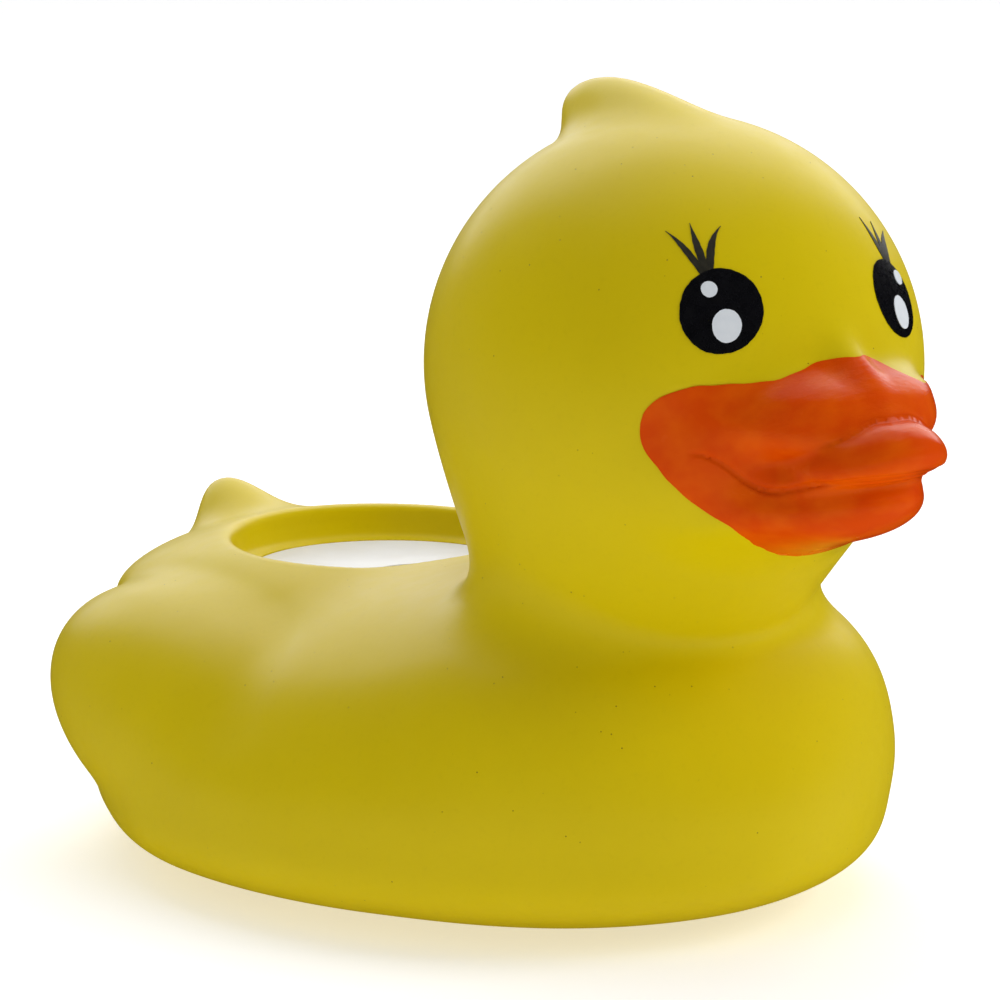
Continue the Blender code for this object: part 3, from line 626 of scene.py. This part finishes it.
EYES = {
    "right": {
        "disc": ((-31.6, 179.9), (9.7, -0.2), (2.7, 10.8)),
        "small_glint": ((-33.5, 185.6), (1.85, 0.0), (0.45, 2.0)),
        "large_glint": ((-31.75, 176.3), (3.45, -0.1), (0.9, 4.3)),
        "lashes": [
            ((-33.5, 188.8), (-34.9, 195.6), (-36.6, 199.8), 1.5),
            ((-32.7, 188.8), (-31.9, 196.2), (-30.7, 201.7), 1.6),
            ((-31.9, 188.8), (-28.9, 196.0), (-24.2, 200.9), 1.5),
        ],
    },
    "left": {
        "disc": ((27.3, 178.2), (10.0, -2.5), (-0.2, 10.2)),
        "small_glint": ((32.2, 183.1), (2.2, -0.5), (-0.1, 1.9)),
        "large_glint": ((28.9, 174.5), (3.8, -0.9), (-0.15, 4.4)),
        "lashes": [
            ((28.4, 187.0), (26.4, 193.4), (24.3, 199.4), 1.6),
            ((28.9, 187.0), (29.0, 192.8), (30.0, 197.6), 1.7),
            ((29.6, 187.0), (31.6, 191.6), (36.2, 194.3), 2.6),
        ],
    },
}


def build_eyes():
    pieces = []
    for seed, (side, eye) in enumerate(EYES.items()):
        pieces.append((painted_disc(f"{side}_eye", *eye["disc"], 0.22, 0.014, 1.3 + seed), "black"))
        for part in ("small_glint", "large_glint"):
            name = f"{side}_eye_{part}"
            pieces.append((painted_disc(name, *eye[part], 0.36, 0.02, 0.4 + seed, 8, 64), "white"))
        for number, (root, bend, tip, width) in enumerate(eye["lashes"], 1):
            name = f"{side}_eyelash_{number}"
            pieces.append((painted_lash(name, root, bend, tip, width, 0.18), "lash"))
    return pieces


# ------------------------------------------------------------ the canister and its working parts

def sector(inner, outer, low, high, start, sweep, steps=14):
    """A closed wedge of a ring about the well's axis, turned in degrees."""
    places, faces = [], []
    for k in range(steps + 1):
        angle = math.radians(start + sweep * k / steps)
        for radius in (inner, outer):
            for height in (low, high):
                places.append((radius * math.cos(angle), AXIS_Y + radius * math.sin(angle), height))
    for k in range(steps):
        a, b = 4 * k, 4 * k + 4
        faces += [(a, a + 1, b + 1, b), (a + 2, b + 2, b + 3, a + 3)]
        faces += [(a, b, b + 2, a + 2), (a + 1, a + 3, b + 3, b + 1)]
    last = 4 * steps
    faces += [(0, 2, 3, 1), (last, last + 1, last + 3, last + 2)]
    return new_object("sector", places, faces)


def bar(size, centre, turn=0.0, middle=(0.0, 0.0)):
    """A closed box at a centre from the well's axis, turned about that axis or about middle."""
    bpy.ops.mesh.primitive_cube_add(size=1.0)
    obj = bpy.context.object
    angle = math.radians(turn)
    x, y = centre[0] - middle[0], centre[1] - middle[1]
    x, y = x * math.cos(angle) - y * math.sin(angle), x * math.sin(angle) + y * math.cos(angle)
    obj.scale = [length * MM for length in size]
    obj.location = ((x + middle[0]) * MM, (AXIS_Y + y + middle[1]) * MM, centre[2] * MM)
    obj.rotation_euler = (0.0, 0.0, angle)
    return obj


def change(obj, operation, tools):
    """One cut or join with several tools that don't touch each other."""
    bpy.ops.object.select_all(action="DESELECT")
    for tool in tools:
        tool.select_set(True)
    bpy.context.view_layer.objects.active = tools[0]
    bpy.ops.object.transform_apply(location=True, rotation=True, scale=True)
    if len(tools) > 1:
        bpy.ops.object.join()
    joined = bpy.context.view_layer.objects.active
    build = bmesh.new()
    build.from_mesh(joined.data)
    bmesh.ops.recalc_face_normals(build, faces=build.faces)
    build.to_mesh(joined.data)
    build.free()
    combine(obj, joined, operation)


def soften(obj, width):
    """Breaks the sharp corners, as every moulded or turned edge is."""
    edge = obj.modifiers.new("Edge", "BEVEL")
    edge.width = width * MM
    edge.segments = 2
    edge.limit_method = "ANGLE"
    edge.angle_limit = math.radians(38.0)
    edge.use_clamp_overlap = True
    bake(obj)
    smooth_shading(obj, 34.0)
    return obj


def ring_points(radius, count, start):
    turns = [math.radians(start + 360.0 * i / count) for i in range(count)]
    return [(radius * math.cos(turn), radius * math.sin(turn)) for turn in turns]


POSTS = ring_points(31.0, 3, 90.0)
CAN_OUTER, CAN_INNER, CAN_TOP, CAN_BOTTOM = 40.4, 38.9, 76.9, 2.0
FLANGE_RADIUS, FLANGE_TOP, FLANGE_LOW = 42.4, 75.6, 73.2
FLOOR_LOW, FLOOR_HIGH = 18.0, 20.5
LUG_LOW, LUG_HIGH, LUG_RADIUS, LUG_LENGTH = 67.2, 69.6, 39.4, 6.0
LUG_TURNS = (0.0, 120.0, 240.0)    # where the lid's three lugs enter, in degrees
TRACK_RADIUS, TRACK_ANGLE, SLOT_ANGLE = 39.75, 46.5, 11.0
GRILLE_LOW, GRILLE_HIGH, GRILLE_RADIUS = 5.3, 8.0, 38.4
DIAL_LOW, DIAL_HIGH, DIAL_RADIUS = 3.0, 5.0, 38.2
LID_RADIUS, LID_TOP, LID_UNDER = 40.2, 80.0, 77.2
SKIRT_OUTER, SKIRT_INNER, SKIRT_BOTTOM = 38.0, 35.8, 66.6
SEAL_Z, SEAL_HALF = 72.4, 0.8
GRIP_RADIUS, GRIP_DEPTH, GRIP_BAR, GRIP_BACK = 14.5, 7.0, 8.0, -15.0
WINDOW_INNER, WINDOW_OUTER, WINDOW_ANGLE = 20.5, 34.5, 27.0


def build_canister():
    wall = lathe("canister_body", [
        (CAN_INNER, CAN_TOP), (CAN_OUTER, CAN_TOP), (CAN_OUTER, FLANGE_TOP),
        (FLANGE_RADIUS, FLANGE_TOP), (FLANGE_RADIUS, FLANGE_LOW), (CAN_OUTER, FLANGE_LOW),
        (CAN_OUTER, CAN_BOTTOM), (CAN_INNER, CAN_BOTTOM), (CAN_INNER, FLOOR_LOW), (0.0, FLOOR_LOW),
        (0.0, FLOOR_HIGH), (CAN_INNER, FLOOR_HIGH),
    ], 160)
    change(wall, "UNION", [cylinder(3.6, 8.3, FLOOR_LOW + 1.0, x, y, 40) for x, y in POSTS])
    drains = ring_points(13.5, 6, 0.0) + ring_points(25.5, 9, 10.0)
    tools = [cylinder(3.6, FLOOR_LOW - 2.0, FLOOR_HIGH + 2.0, x, y, 40) for x, y in drains]
    tools += [cylinder(1.35, 5.0, 16.0, x, y, 24) for x, y in POSTS]
    change(wall, "DIFFERENCE", tools)
    low = LUG_LOW - 0.6
    cut = (CAN_INNER - 1.5, TRACK_RADIUS, low)
    slots = [sector(*cut, CAN_TOP + 3.0, turn - SLOT_ANGLE / 2, SLOT_ANGLE) for turn in LUG_TURNS]
    change(wall, "DIFFERENCE", slots)
    tracks = [sector(*cut, LUG_HIGH + 0.5, turn, TRACK_ANGLE, 24) for turn in LUG_TURNS]
    change(wall, "DIFFERENCE", tracks)
    return soften(wall, 0.25)


def windows(low, high, offset):
    """Cutters for the six windows of a plate, the first one's middle at an angle in degrees."""
    starts = [60.0 * i + offset - WINDOW_ANGLE / 2 for i in range(6)]
    span = (WINDOW_INNER, WINDOW_OUTER, low - 2.0, high + 2.0)
    return [sector(*span, start, WINDOW_ANGLE) for start in starts]


def build_grille():
    obj = lathe("base_grille_fine", [
        (0.0, 13.5), (5.9, 13.5), (5.9, 9.0), (9.5, 9.0), (9.5, GRILLE_HIGH),
        (GRILLE_RADIUS, GRILLE_HIGH), (GRILLE_RADIUS, GRILLE_LOW), (0.0, GRILLE_LOW),
    ], 160)
    change(obj, "DIFFERENCE", windows(GRILLE_LOW, GRILLE_HIGH, 60.0))
    holes = [cylinder(1.6, 3.0, 10.0, x, y, 32) for x, y in POSTS]
    change(obj, "DIFFERENCE", holes + [cylinder(1.8, 3.0, 12.0, sides=32)])
    sinks = [cylinder(3.0, 3.0, GRILLE_LOW + 1.5, x, y, 40) for x, y in POSTS]
    change(obj, "DIFFERENCE", sinks)
    return soften(obj, 0.3)


def build_dial():
    obj = lathe("flow_dial_fine", [
        (0.0, DIAL_HIGH), (DIAL_RADIUS, DIAL_HIGH), (DIAL_RADIUS, DIAL_LOW + 0.5),
        (DIAL_RADIUS - 0.5, DIAL_LOW), (0.0, DIAL_LOW),
    ], 160)
    change(obj, "DIFFERENCE", windows(DIAL_LOW, DIAL_HIGH, 30.0))
    change(obj, "UNION", [bar((58.0, 5.0, 3.0), (0.0, 0.0, 2.1), 60.0)])
    change(obj, "DIFFERENCE", [cylinder(6.2, -2.0, DIAL_LOW, sides=64)])
    change(obj, "DIFFERENCE", [cylinder(2.0, -2.0, DIAL_HIGH + 2.0, sides=40)])
    return soften(obj, 0.35)


def build_lid():
    obj = lathe("lid_fine", [
        (0.0, LID_TOP), (LID_RADIUS - 0.9, LID_TOP), (LID_RADIUS - 0.25, LID_TOP - 0.25),
        (LID_RADIUS, LID_TOP - 0.9), (LID_RADIUS, LID_UNDER), (SKIRT_OUTER, LID_UNDER),
        (SKIRT_OUTER, SEAL_Z + 1.1), (SKIRT_OUTER - 1.0, SEAL_Z + 1.1),
        (SKIRT_OUTER - 1.0, SEAL_Z - 1.1), (SKIRT_OUTER, SEAL_Z - 1.1),
        (SKIRT_OUTER, SKIRT_BOTTOM), (SKIRT_INNER, SKIRT_BOTTOM),
        (SKIRT_INNER, LID_UNDER), (0.0, LID_UNDER),
    ], 192)
    cup_low = LID_TOP - GRIP_DEPTH - 2.0
    change(obj, "UNION", [cylinder(GRIP_RADIUS + 2.2, cup_low, LID_UNDER + 1.0, y=GRIP_BACK, sides=96)])
    half = math.degrees(LUG_LENGTH / 2 / LUG_RADIUS)
    span = (SKIRT_OUTER - 1.2, LUG_RADIUS, LUG_LOW, LUG_HIGH)
    lugs = [sector(*span, turn - half, 2.0 * half, 4) for turn in LUG_TURNS]
    change(obj, "UNION", lugs)
    well = cylinder(GRIP_RADIUS, LID_TOP - GRIP_DEPTH, LID_TOP + 3.0, y=GRIP_BACK, sides=96)
    change(well, "DIFFERENCE", [bar((60.0, GRIP_BAR, 30.0), (0.0, GRIP_BACK, LID_TOP))])
    corners = well.modifiers.new("Corners", "BEVEL")
    corners.width = 1.6 * MM
    corners.segments = 4
    corners.limit_method = "ANGLE"
    corners.angle_limit = math.radians(50.0)
    bake(well)
    change(obj, "DIFFERENCE", [well])
    return soften(obj, 0.3)


def build_locking_ring():
    obj = lathe("locking_ring_fine", [
        (40.8, 6.7), (47.8, 6.7), (47.8, 2.0), (47.0, 1.2), (40.8, 1.2),
    ], 160)
    notches = [bar((6.0, 4.0, 3.0), (47.8, 0.0, 1.2), 45.0 * i + 22.5) for i in range(8)]
    change(obj, "DIFFERENCE", notches)
    return soften(obj, 0.3)


def turned_pieces():
    """The plain ring-shaped pieces and the vent plug, by the name of their node."""
    turns = [-2.0 * math.pi * i / 20 for i in range(20)]
    rounded_seal = [
        (SKIRT_OUTER + SEAL_HALF * math.cos(turn), SEAL_Z + SEAL_HALF * math.sin(turn))
        for turn in turns
    ]
    gasket = lathe("canister_gasket_fine", [(41.1, 73.0), (43.2, 73.0), (43.2, 72.2), (41.1, 72.2)], 160)
    ballast = lathe("ballast_ring_fine", [
        (6.6, 17.2), (7.0, 17.6), (18.2, 17.6), (19.0, 16.8),
        (19.0, 10.1), (18.2, 9.3), (7.0, 9.3), (6.6, 9.7),
    ], 128)
    washer = lathe("pivot_washer_fine", [(1.7, 2.8), (4.4, 2.8), (4.4, 2.25), (1.7, 2.25)], 64)
    plug = lathe("vent_plug_fine", [
        (0.0, 13.0), (2.6, 13.0), (3.7, 10.5), (3.7, 2.1), (6.7, 2.1),
        (6.7, 0.9), (6.2, 0.4), (3.0, 0.4), (2.4, 0.9), (0.0, 1.1),
    ], 72, y=-VENT_FORWARD)
    return {
        "lid_seal": smooth_piece(lathe("lid_seal_fine", rounded_seal, 160)),
        "canister_gasket": soften(gasket, 0.2),
        "ballast_ring": soften(ballast, 0.2),
        "pivot_washer": soften(washer, 0.12),
        "float_vent_plug": soften(plug, 0.2),
    }


def smooth_piece(obj):
    smooth_shading(obj)
    return obj


def screw(name, profile, cross, depth, x=0.0, y=0.0):
    """A screw with a cross recess in its head, which faces down."""
    obj = lathe(name, profile, 48)
    low = min(height for _, height in profile)
    arms = bar((cross, 0.75, 2.0 * depth), (0.0, 0.0, low))
    change(obj, "DIFFERENCE", [arms])
    arms = bar((0.75, cross, 2.0 * depth), (0.0, 0.0, low))
    change(obj, "DIFFERENCE", [arms])
    soften(obj, 0.12)
    obj.data.transform(Matrix.Translation((x * MM, y * MM, 0.0)))
    return obj


def screws():
    """The dial's pivot and the grille's three screws, each with its middle."""
    pivot = [
        (0.0, 11.4), (1.2, 11.4), (1.5, 11.1), (1.5, 2.05), (3.4, 2.05),
        (3.4, 1.3), (3.1, 0.95), (2.6, 0.7), (0.0, 0.7),
    ]
    grille = [
        (0.0, 15.0), (0.5, 15.0), (1.1, 14.0), (1.1, 6.6),
        (2.7, 6.6), (2.7, 5.8), (2.2, 5.4), (0.0, 5.4),
    ]
    made = {"pivot_screw": (screw("pivot_screw_fine", pivot, 3.6, 0.7), (0.0, 0.0))}
    for number, (x, y) in enumerate(POSTS, 1):
        node = f"grille_screw_{number}"
        made[node] = (screw(f"{node}_fine", grille, 3.0, 0.7, x, y), (x, y))
    return made


# ------------------------------------------------------------ materials

class Finish:
    """A material's node tree, with short helpers that place texture over the object's own space."""

    def __init__(self, name):
        self.material = bpy.data.materials.new(name)
        self.material.use_nodes = True
        self.tree = self.material.node_tree
        self.shader = next(n for n in self.tree.nodes if n.type == "BSDF_PRINCIPLED")
        self.space = self.node("ShaderNodeTexCoord").outputs["Object"]

    def node(self, kind, **settings):
        made = self.tree.nodes.new(kind)
        for key, value in settings.items():
            setattr(made, key, value)
        return made

    def link(self, source, target):
        self.tree.links.new(source, target)

    def set(self, **values):
        for key, value in values.items():
            self.shader.inputs[key.replace("_", " ")].default_value = value
        return self

    def spread(self, scale, turn=(0.0, 0.0, 0.0), move=(0.0, 0.0, 0.0)):
        place = self.node("ShaderNodeMapping")
        place.inputs["Scale"].default_value = scale
        place.inputs["Rotation"].default_value = turn
        place.inputs["Location"].default_value = move
        self.link(self.space, place.inputs["Vector"])
        return place.outputs["Vector"]

    def noise(self, size, detail=3.0, roughness=0.5, vector=None):
        """Noise whose blotches are about size millimetres across."""
        made = self.node("ShaderNodeTexNoise")
        made.inputs["Scale"].default_value = 1000.0 / size
        made.inputs["Detail"].default_value = detail
        made.inputs["Roughness"].default_value = roughness
        self.link(vector or self.space, made.inputs["Vector"])
        return made.outputs["Fac"]

    def cells(self, size, vector=None):
        made = self.node("ShaderNodeTexVoronoi")
        made.inputs["Scale"].default_value = 1000.0 / size
        self.link(vector or self.space, made.inputs["Vector"])
        return made.outputs["Distance"]

    def remap(self, source, low, high, to_low, to_high):
        made = self.node("ShaderNodeMapRange")
        names = ("From Min", "From Max", "To Min", "To Max")
        for key, value in zip(names, (low, high, to_low, to_high)):
            made.inputs[key].default_value = value
        self.link(source, made.inputs["Value"])
        return made.outputs["Result"]

    def maths(self, operation, first, second):
        made = self.node("ShaderNodeMath", operation=operation)
        for socket, value in zip(made.inputs, (first, second)):
            if isinstance(value, (int, float)):
                socket.default_value = value
            else:
                self.link(value, socket)
        return made.outputs[0]

    def blend(self, share, first, second):
        made = self.node("ShaderNodeMix", data_type="RGBA")
        sockets = (made.inputs["Factor"], made.inputs[6], made.inputs[7])
        for socket, value in zip(sockets, (share, first, second)):
            if isinstance(value, tuple):
                socket.default_value = (*value, 1.0)
            elif isinstance(value, float):
                socket.default_value = value
            else:
                self.link(value, socket)
        return made.outputs[2]

    def colour(self, source):
        self.link(source, self.shader.inputs["Base Color"])
        return self

    def rough(self, source):
        self.link(source, self.shader.inputs["Roughness"])
        return self

    def bumps(self, *layers):
        """Bump from layers of (height, millimetres of relief), each laid over the last."""
        normal = None
        for height, relief in layers:
            made = self.node("ShaderNodeBump")
            made.inputs["Distance"].default_value = relief * MM
            self.link(height, made.inputs["Height"])
            if normal:
                self.link(normal, made.inputs["Normal"])
            normal = made.outputs["Normal"]
        self.link(normal, self.shader.inputs["Normal"])
        return self


def specks(finish, size, rarity, reach):
    """A sprinkle of small dots: 1 in a dot and 0 elsewhere."""
    dot = finish.remap(finish.cells(size), reach, reach * 0.45, 0.0, 1.0)
    chance = finish.remap(finish.noise(size * 2.3, 1.0), rarity, rarity + 0.03, 0.0, 1.0)
    return finish.maths("MULTIPLY", dot, chance)


def vinyl(name="yellow_vinyl_skin", shade=1.0):
    """Soft moulded vinyl: faint mottling, a fine satin grain and a few tiny dark pits."""
    finish = Finish(name)
    mottle = finish.remap(finish.noise(34.0, 3.0), 0.3, 0.7, 0.0, 1.0)
    tone = finish.blend(mottle, (0.650 * shade, 0.500 * shade, 0.0), (0.670 * shade, 0.518 * shade, 0.0))
    dust = finish.remap(finish.noise(1.9, 2.0), 0.56, 0.8, 0.0, 0.22)
    tone = finish.blend(dust, tone, (0.57, 0.44, 0.0))
    pits = specks(finish, 3.4, 0.585, 0.085)
    tone = finish.blend(finish.maths("MULTIPLY", pits, 0.8), tone, (0.16, 0.10, 0.004))
    finish.colour(tone)
    finish.rough(finish.remap(finish.noise(6.0, 4.0), 0.25, 0.75, 0.34, 0.42))
    grain = finish.noise(0.55, 2.0)
    peel = finish.noise(3.6, 2.0)
    finish.bumps((peel, 0.035), (grain, 0.012), (finish.maths("SUBTRACT", 1.0, pits), 0.10))
    return finish.set(
        Subsurface_Weight=0.08,
        Subsurface_Radius=(0.9, 0.6, 0.05),
        Subsurface_Scale=0.004,
        Specular_IOR_Level=0.13,
    ).material


def bill_lacquer():
    """Glossy orange paint, brushed on: thin and thick bands, brush lines and a few bubbles."""
    finish = Finish("orange_bill_paint")
    strokes = finish.noise(7.0, 3.0, 0.5, finish.spread((0.45, 1.0, 1.0), (0.25, 0.0, 0.35)))
    clouds = finish.noise(13.0, 2.0)
    thin = finish.remap(finish.maths("ADD", strokes, clouds), 0.86, 1.2, 0.0, 1.0)
    tone = finish.blend(thin, (0.660, 0.060, 0.0), (0.720, 0.090, 0.0))
    finish.colour(tone)
    finish.rough(finish.remap(strokes, 0.3, 0.7, 0.20, 0.28))
    bubbles = specks(finish, 3.4, 0.60, 0.10)
    height = finish.node("ShaderNodeSeparateXYZ")
    finish.link(finish.space, height.inputs["Vector"])
    front = finish.remap(height.outputs["Y"], -0.118, -0.130, 0.0, 1.0)
    above = finish.remap(height.outputs["Z"], 0.146, 0.152, 0.0, 1.0)
    lines = finish.noise(1.3, 3.0, 0.6, finish.spread((0.35, 1.0, 1.0), (0.0, 0.5, 0.3)))
    brushed = finish.maths("MULTIPLY", lines, finish.maths("MULTIPLY", front, above))
    finish.bumps((strokes, 0.03), (finish.noise(2.4, 2.0), 0.012), (bubbles, 0.06), (brushed, 0.16))
    return finish.set(Coat_Weight=0.02, Coat_Roughness=0.12, Specular_IOR_Level=0.07).material


def plain_finish(name, cloud, dark, pale, gloss, *layers):
    """A finish between two tones in clouds of a size, with gloss as (size, low, high) roughness
    and bump in layers of (size, relief)."""
    finish = Finish(name)
    finish.colour(finish.blend(finish.noise(cloud, 3.0), dark, pale))
    size, low, high = gloss
    finish.rough(finish.remap(finish.noise(size, 3.0), 0.3, 0.7, low, high))
    return finish.bumps(*[(finish.noise(size, 2.0), relief) for size, relief in layers])


def eye_enamel():
    tones = (0.002, 0.002, 0.003), (0.007, 0.007, 0.009)
    layers = (2.8, 0.03), (0.5, 0.006)
    finish = plain_finish("black_eye_paint", 4.0, *tones, (2.0, 0.22, 0.34), *layers)
    return finish.set(Coat_Weight=0.2, Coat_Roughness=0.15).material


def lash_ink():
    tones = (0.010, 0.010, 0.008), (0.045, 0.040, 0.022)
    return plain_finish("black_lash_paint", 1.6, *tones, (1.0, 0.35, 0.5), (0.7, 0.02)).material


def glint_enamel():
    tones = (0.68, 0.73, 0.78), (0.80, 0.83, 0.86)
    return plain_finish("white_eye_paint", 3.0, *tones, (1.5, 0.28, 0.4), (1.4, 0.02)).material


def polypropylene(name="white_moulded_plastic", tone=(0.81, 0.82, 0.84)):
    """White moulded plastic with a fine spark-etched grain and faint flow lines."""
    finish = Finish(name)
    flow = finish.noise(16.0, 3.0, 0.5, finish.spread((1.0, 0.4, 1.0)))
    dull = tuple(0.965 * part for part in tone)
    finish.colour(finish.blend(finish.remap(flow, 0.35, 0.65, 0.0, 1.0), dull, tone))
    finish.rough(finish.remap(finish.noise(3.0, 3.0), 0.3, 0.7, 0.34, 0.46))
    finish.bumps((finish.noise(0.45, 2.0), 0.010), (finish.noise(7.0, 2.0), 0.03))
    return finish.set(Specular_IOR_Level=0.2).material


def rubber():
    finish = Finish("black_moulded_rubber")
    bloom = finish.remap(finish.noise(5.0, 3.0), 0.35, 0.75, 0.0, 1.0)
    finish.colour(finish.blend(bloom, (0.014, 0.014, 0.015), (0.030, 0.030, 0.030)))
    finish.rough(finish.remap(finish.noise(2.0, 3.0), 0.3, 0.7, 0.55, 0.72))
    finish.bumps((finish.noise(0.4, 2.0), 0.015))
    return finish.material


def turned_steel(name, middle, tone=(0.62, 0.62, 0.63)):
    """Stainless steel with the fine rings that turning leaves about its middle."""
    finish = Finish(name)
    place = finish.spread((1.0, 1.0, 1.0), move=(-middle[0] * MM, -(AXIS_Y + middle[1]) * MM, 0.0))
    parts = finish.node("ShaderNodeSeparateXYZ")
    finish.link(place, parts.inputs["Vector"])
    squares = [finish.maths("MULTIPLY", parts.outputs[axis], parts.outputs[axis]) for axis in ("X", "Y")]
    radius = finish.maths("SQRT", finish.maths("ADD", *squares), 0.0)
    ring = finish.node("ShaderNodeCombineXYZ")
    finish.link(radius, ring.inputs["X"])
    finish.link(parts.outputs["Z"], ring.inputs["Z"])
    rings = finish.noise(0.28, 2.0, 0.5, ring.outputs["Vector"])
    stain = finish.remap(finish.noise(3.0, 3.0), 0.5, 0.8, 0.0, 0.5)
    finish.colour(finish.blend(stain, tone, tuple(0.8 * part for part in tone)))
    finish.rough(finish.remap(rings, 0.3, 0.7, 0.22, 0.38))
    finish.bumps((rings, 0.012))
    return finish.set(Metallic=1.0).material


# ------------------------------------------------------------ light, floor and camera

def sweep_floor():
    """A pale floor that curves up into a backdrop far behind the duck."""
    profile = [(-3.0, 0.0)]
    for step in range(13):
        angle = math.radians(90.0 * step / 12)
        profile.append((2.4 + 1.2 * math.sin(angle), 1.2 - 1.2 * math.cos(angle)))
    profile.append((3.6, 4.2))
    places, faces = [], []
    for along, height in profile:
        places += [(-5000.0, along * 1000.0, height * 1000.0), (5000.0, along * 1000.0, height * 1000.0)]
    for i in range(len(profile) - 1):
        faces.append((2 * i, 2 * i + 1, 2 * i + 3, 2 * i + 2))
    floor = new_object("studio_sweep", places, faces)
    floor.rotation_euler = (0.0, 0.0, math.radians(AZIMUTH))
    floor.location.z = -0.0002
    smooth_shading(floor)
    paper = Finish("studio_paper")
    paper.colour(paper.blend(paper.noise(90.0, 2.0), (0.80, 0.80, 0.80), (0.82, 0.82, 0.82)))
    paper.set(Roughness=0.9, Specular_IOR_Level=0.1)
    paper.set(Emission_Color=(1.0, 1.0, 1.0, 1.0), Emission_Strength=0.46)
    floor.data.materials.append(paper.material)
    floor.visible_glossy = False


def soft_light(name, place, aim, size, power, shine=True, spread=True):
    """An area light; without shine it isn't mirrored, and without spread it is only mirrored."""
    lamp = bpy.data.lights.new(name, "AREA")
    lamp.shape = "RECTANGLE"
    lamp.size, lamp.size_y = size
    lamp.energy = power
    obj = bpy.data.objects.new(name, lamp)
    bpy.context.scene.collection.objects.link(obj)
    obj.visible_glossy = shine
    obj.visible_diffuse = spread
    obj.location = place
    obj.rotation_euler = (Vector(aim) - Vector(place)).to_track_quat("-Z", "Y").to_euler()
    return obj


AZIMUTH, ELEVATION, DISTANCE, LENS = -39.0, 10.4, 1.623, 203.5
TARGET = Vector((0.0029, 0.0178, 0.1062))
ROOM_LIGHT = 0.39


def around(azimuth, elevation, distance):
    """A place round the target: azimuth 0 is in front of the duck, positive to its left."""
    a, e = math.radians(azimuth), math.radians(elevation)
    back = Vector((math.sin(a) * math.cos(e), -math.cos(a) * math.cos(e), math.sin(e)))
    return TARGET + back * distance


def studio():
    sweep_floor()
    world = bpy.data.worlds.new("studio")
    bpy.context.scene.world = world
    world.use_nodes = True
    air = world.node_tree.nodes["Background"]
    air.inputs["Color"].default_value = (1.0, 1.0, 1.0, 1.0)
    air.inputs["Strength"].default_value = ROOM_LIGHT
    world.cycles_visibility.glossy = False
    soft_light("overhead", around(150.0, 70.0, 1.7), TARGET, (1.8, 1.6), 15.0)
    soft_light("key", around(48.0, 28.0, 1.9), TARGET, (1.2, 1.0), 12.8, shine=False)
    soft_light("fill", around(-60.0, 24.0, 2.0), TARGET, (1.4, 1.2), 1.0, shine=False)
    soft_light("backdrop_glow", around(141.0, 36.0, 3.0), TARGET, (4.6, 3.0), 112.0, spread=False)
    lens = bpy.data.cameras.new("camera")
    lens.lens = LENS
    lens.sensor_width = 36.0
    lens.clip_end = 30.0
    camera = bpy.data.objects.new("camera", lens)
    bpy.context.scene.collection.objects.link(camera)
    camera.location = around(AZIMUTH, ELEVATION, DISTANCE)
    camera.rotation_euler = (TARGET - camera.location).to_track_quat("-Z", "Y").to_euler()
    bpy.context.scene.camera = camera
    bpy.context.scene.view_settings.view_transform = "Standard"
    bpy.context.scene.view_settings.look = "None"


def wear(obj, material, body=BASE):
    obj.data.materials.clear()
    obj.data.materials.append(material)
    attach(obj, body)
    return obj


def main():
    yellow = vinyl()
    plastic = polypropylene()
    duck = build_duck()
    skin = build_skin(duck)
    wear(skin, yellow)
    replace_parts(skin, "duck_float")
    wear(build_bill_paint(duck), bill_lacquer())
    paints = {"black": eye_enamel(), "white": glint_enamel(), "lash": lash_ink()}
    for piece, paint in build_eyes():
        wear(piece, paints[paint])
    bpy.data.objects.remove(duck, do_unlink=True)
    plain = {
        "canister": (build_canister(), BASE),
        "locking_ring": (build_locking_ring(), BASE),
        "base_grille": (build_grille(), BASE),
        "flow_dial": (build_dial(), "dial"),
        "lid": (build_lid(), "lid_cover"),
    }
    for node, (piece, body) in plain.items():
        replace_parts(wear(piece, plastic, body), node)
    black = rubber()
    ballast = turned_steel("ballast_steel_ring", (0.0, 0.0), (0.48, 0.48, 0.49))
    washer = turned_steel("steel_washer", (0.0, 0.0))
    plug = vinyl("yellow_vinyl_plug", 0.94)
    turned = turned_pieces()
    finishes = {
        "lid_seal": (black, "black_rubber", "lid_seal_ring"),
        "canister_gasket": (black, "black_rubber", BASE),
        "ballast_ring": (ballast, "ballast_steel", BASE),
        "pivot_washer": (washer, "stainless_steel", BASE),
        "float_vent_plug": (plug, "plug_vinyl", BASE),
    }
    for node, (finish, slot, body) in finishes.items():
        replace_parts(wear(turned[node], finish, body), node)
    for node, (piece, middle) in screws().items():
        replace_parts(wear(piece, turned_steel(f"steel_{node}", middle)), node)
    studio()


main()
bpy.context.view_layer.update()
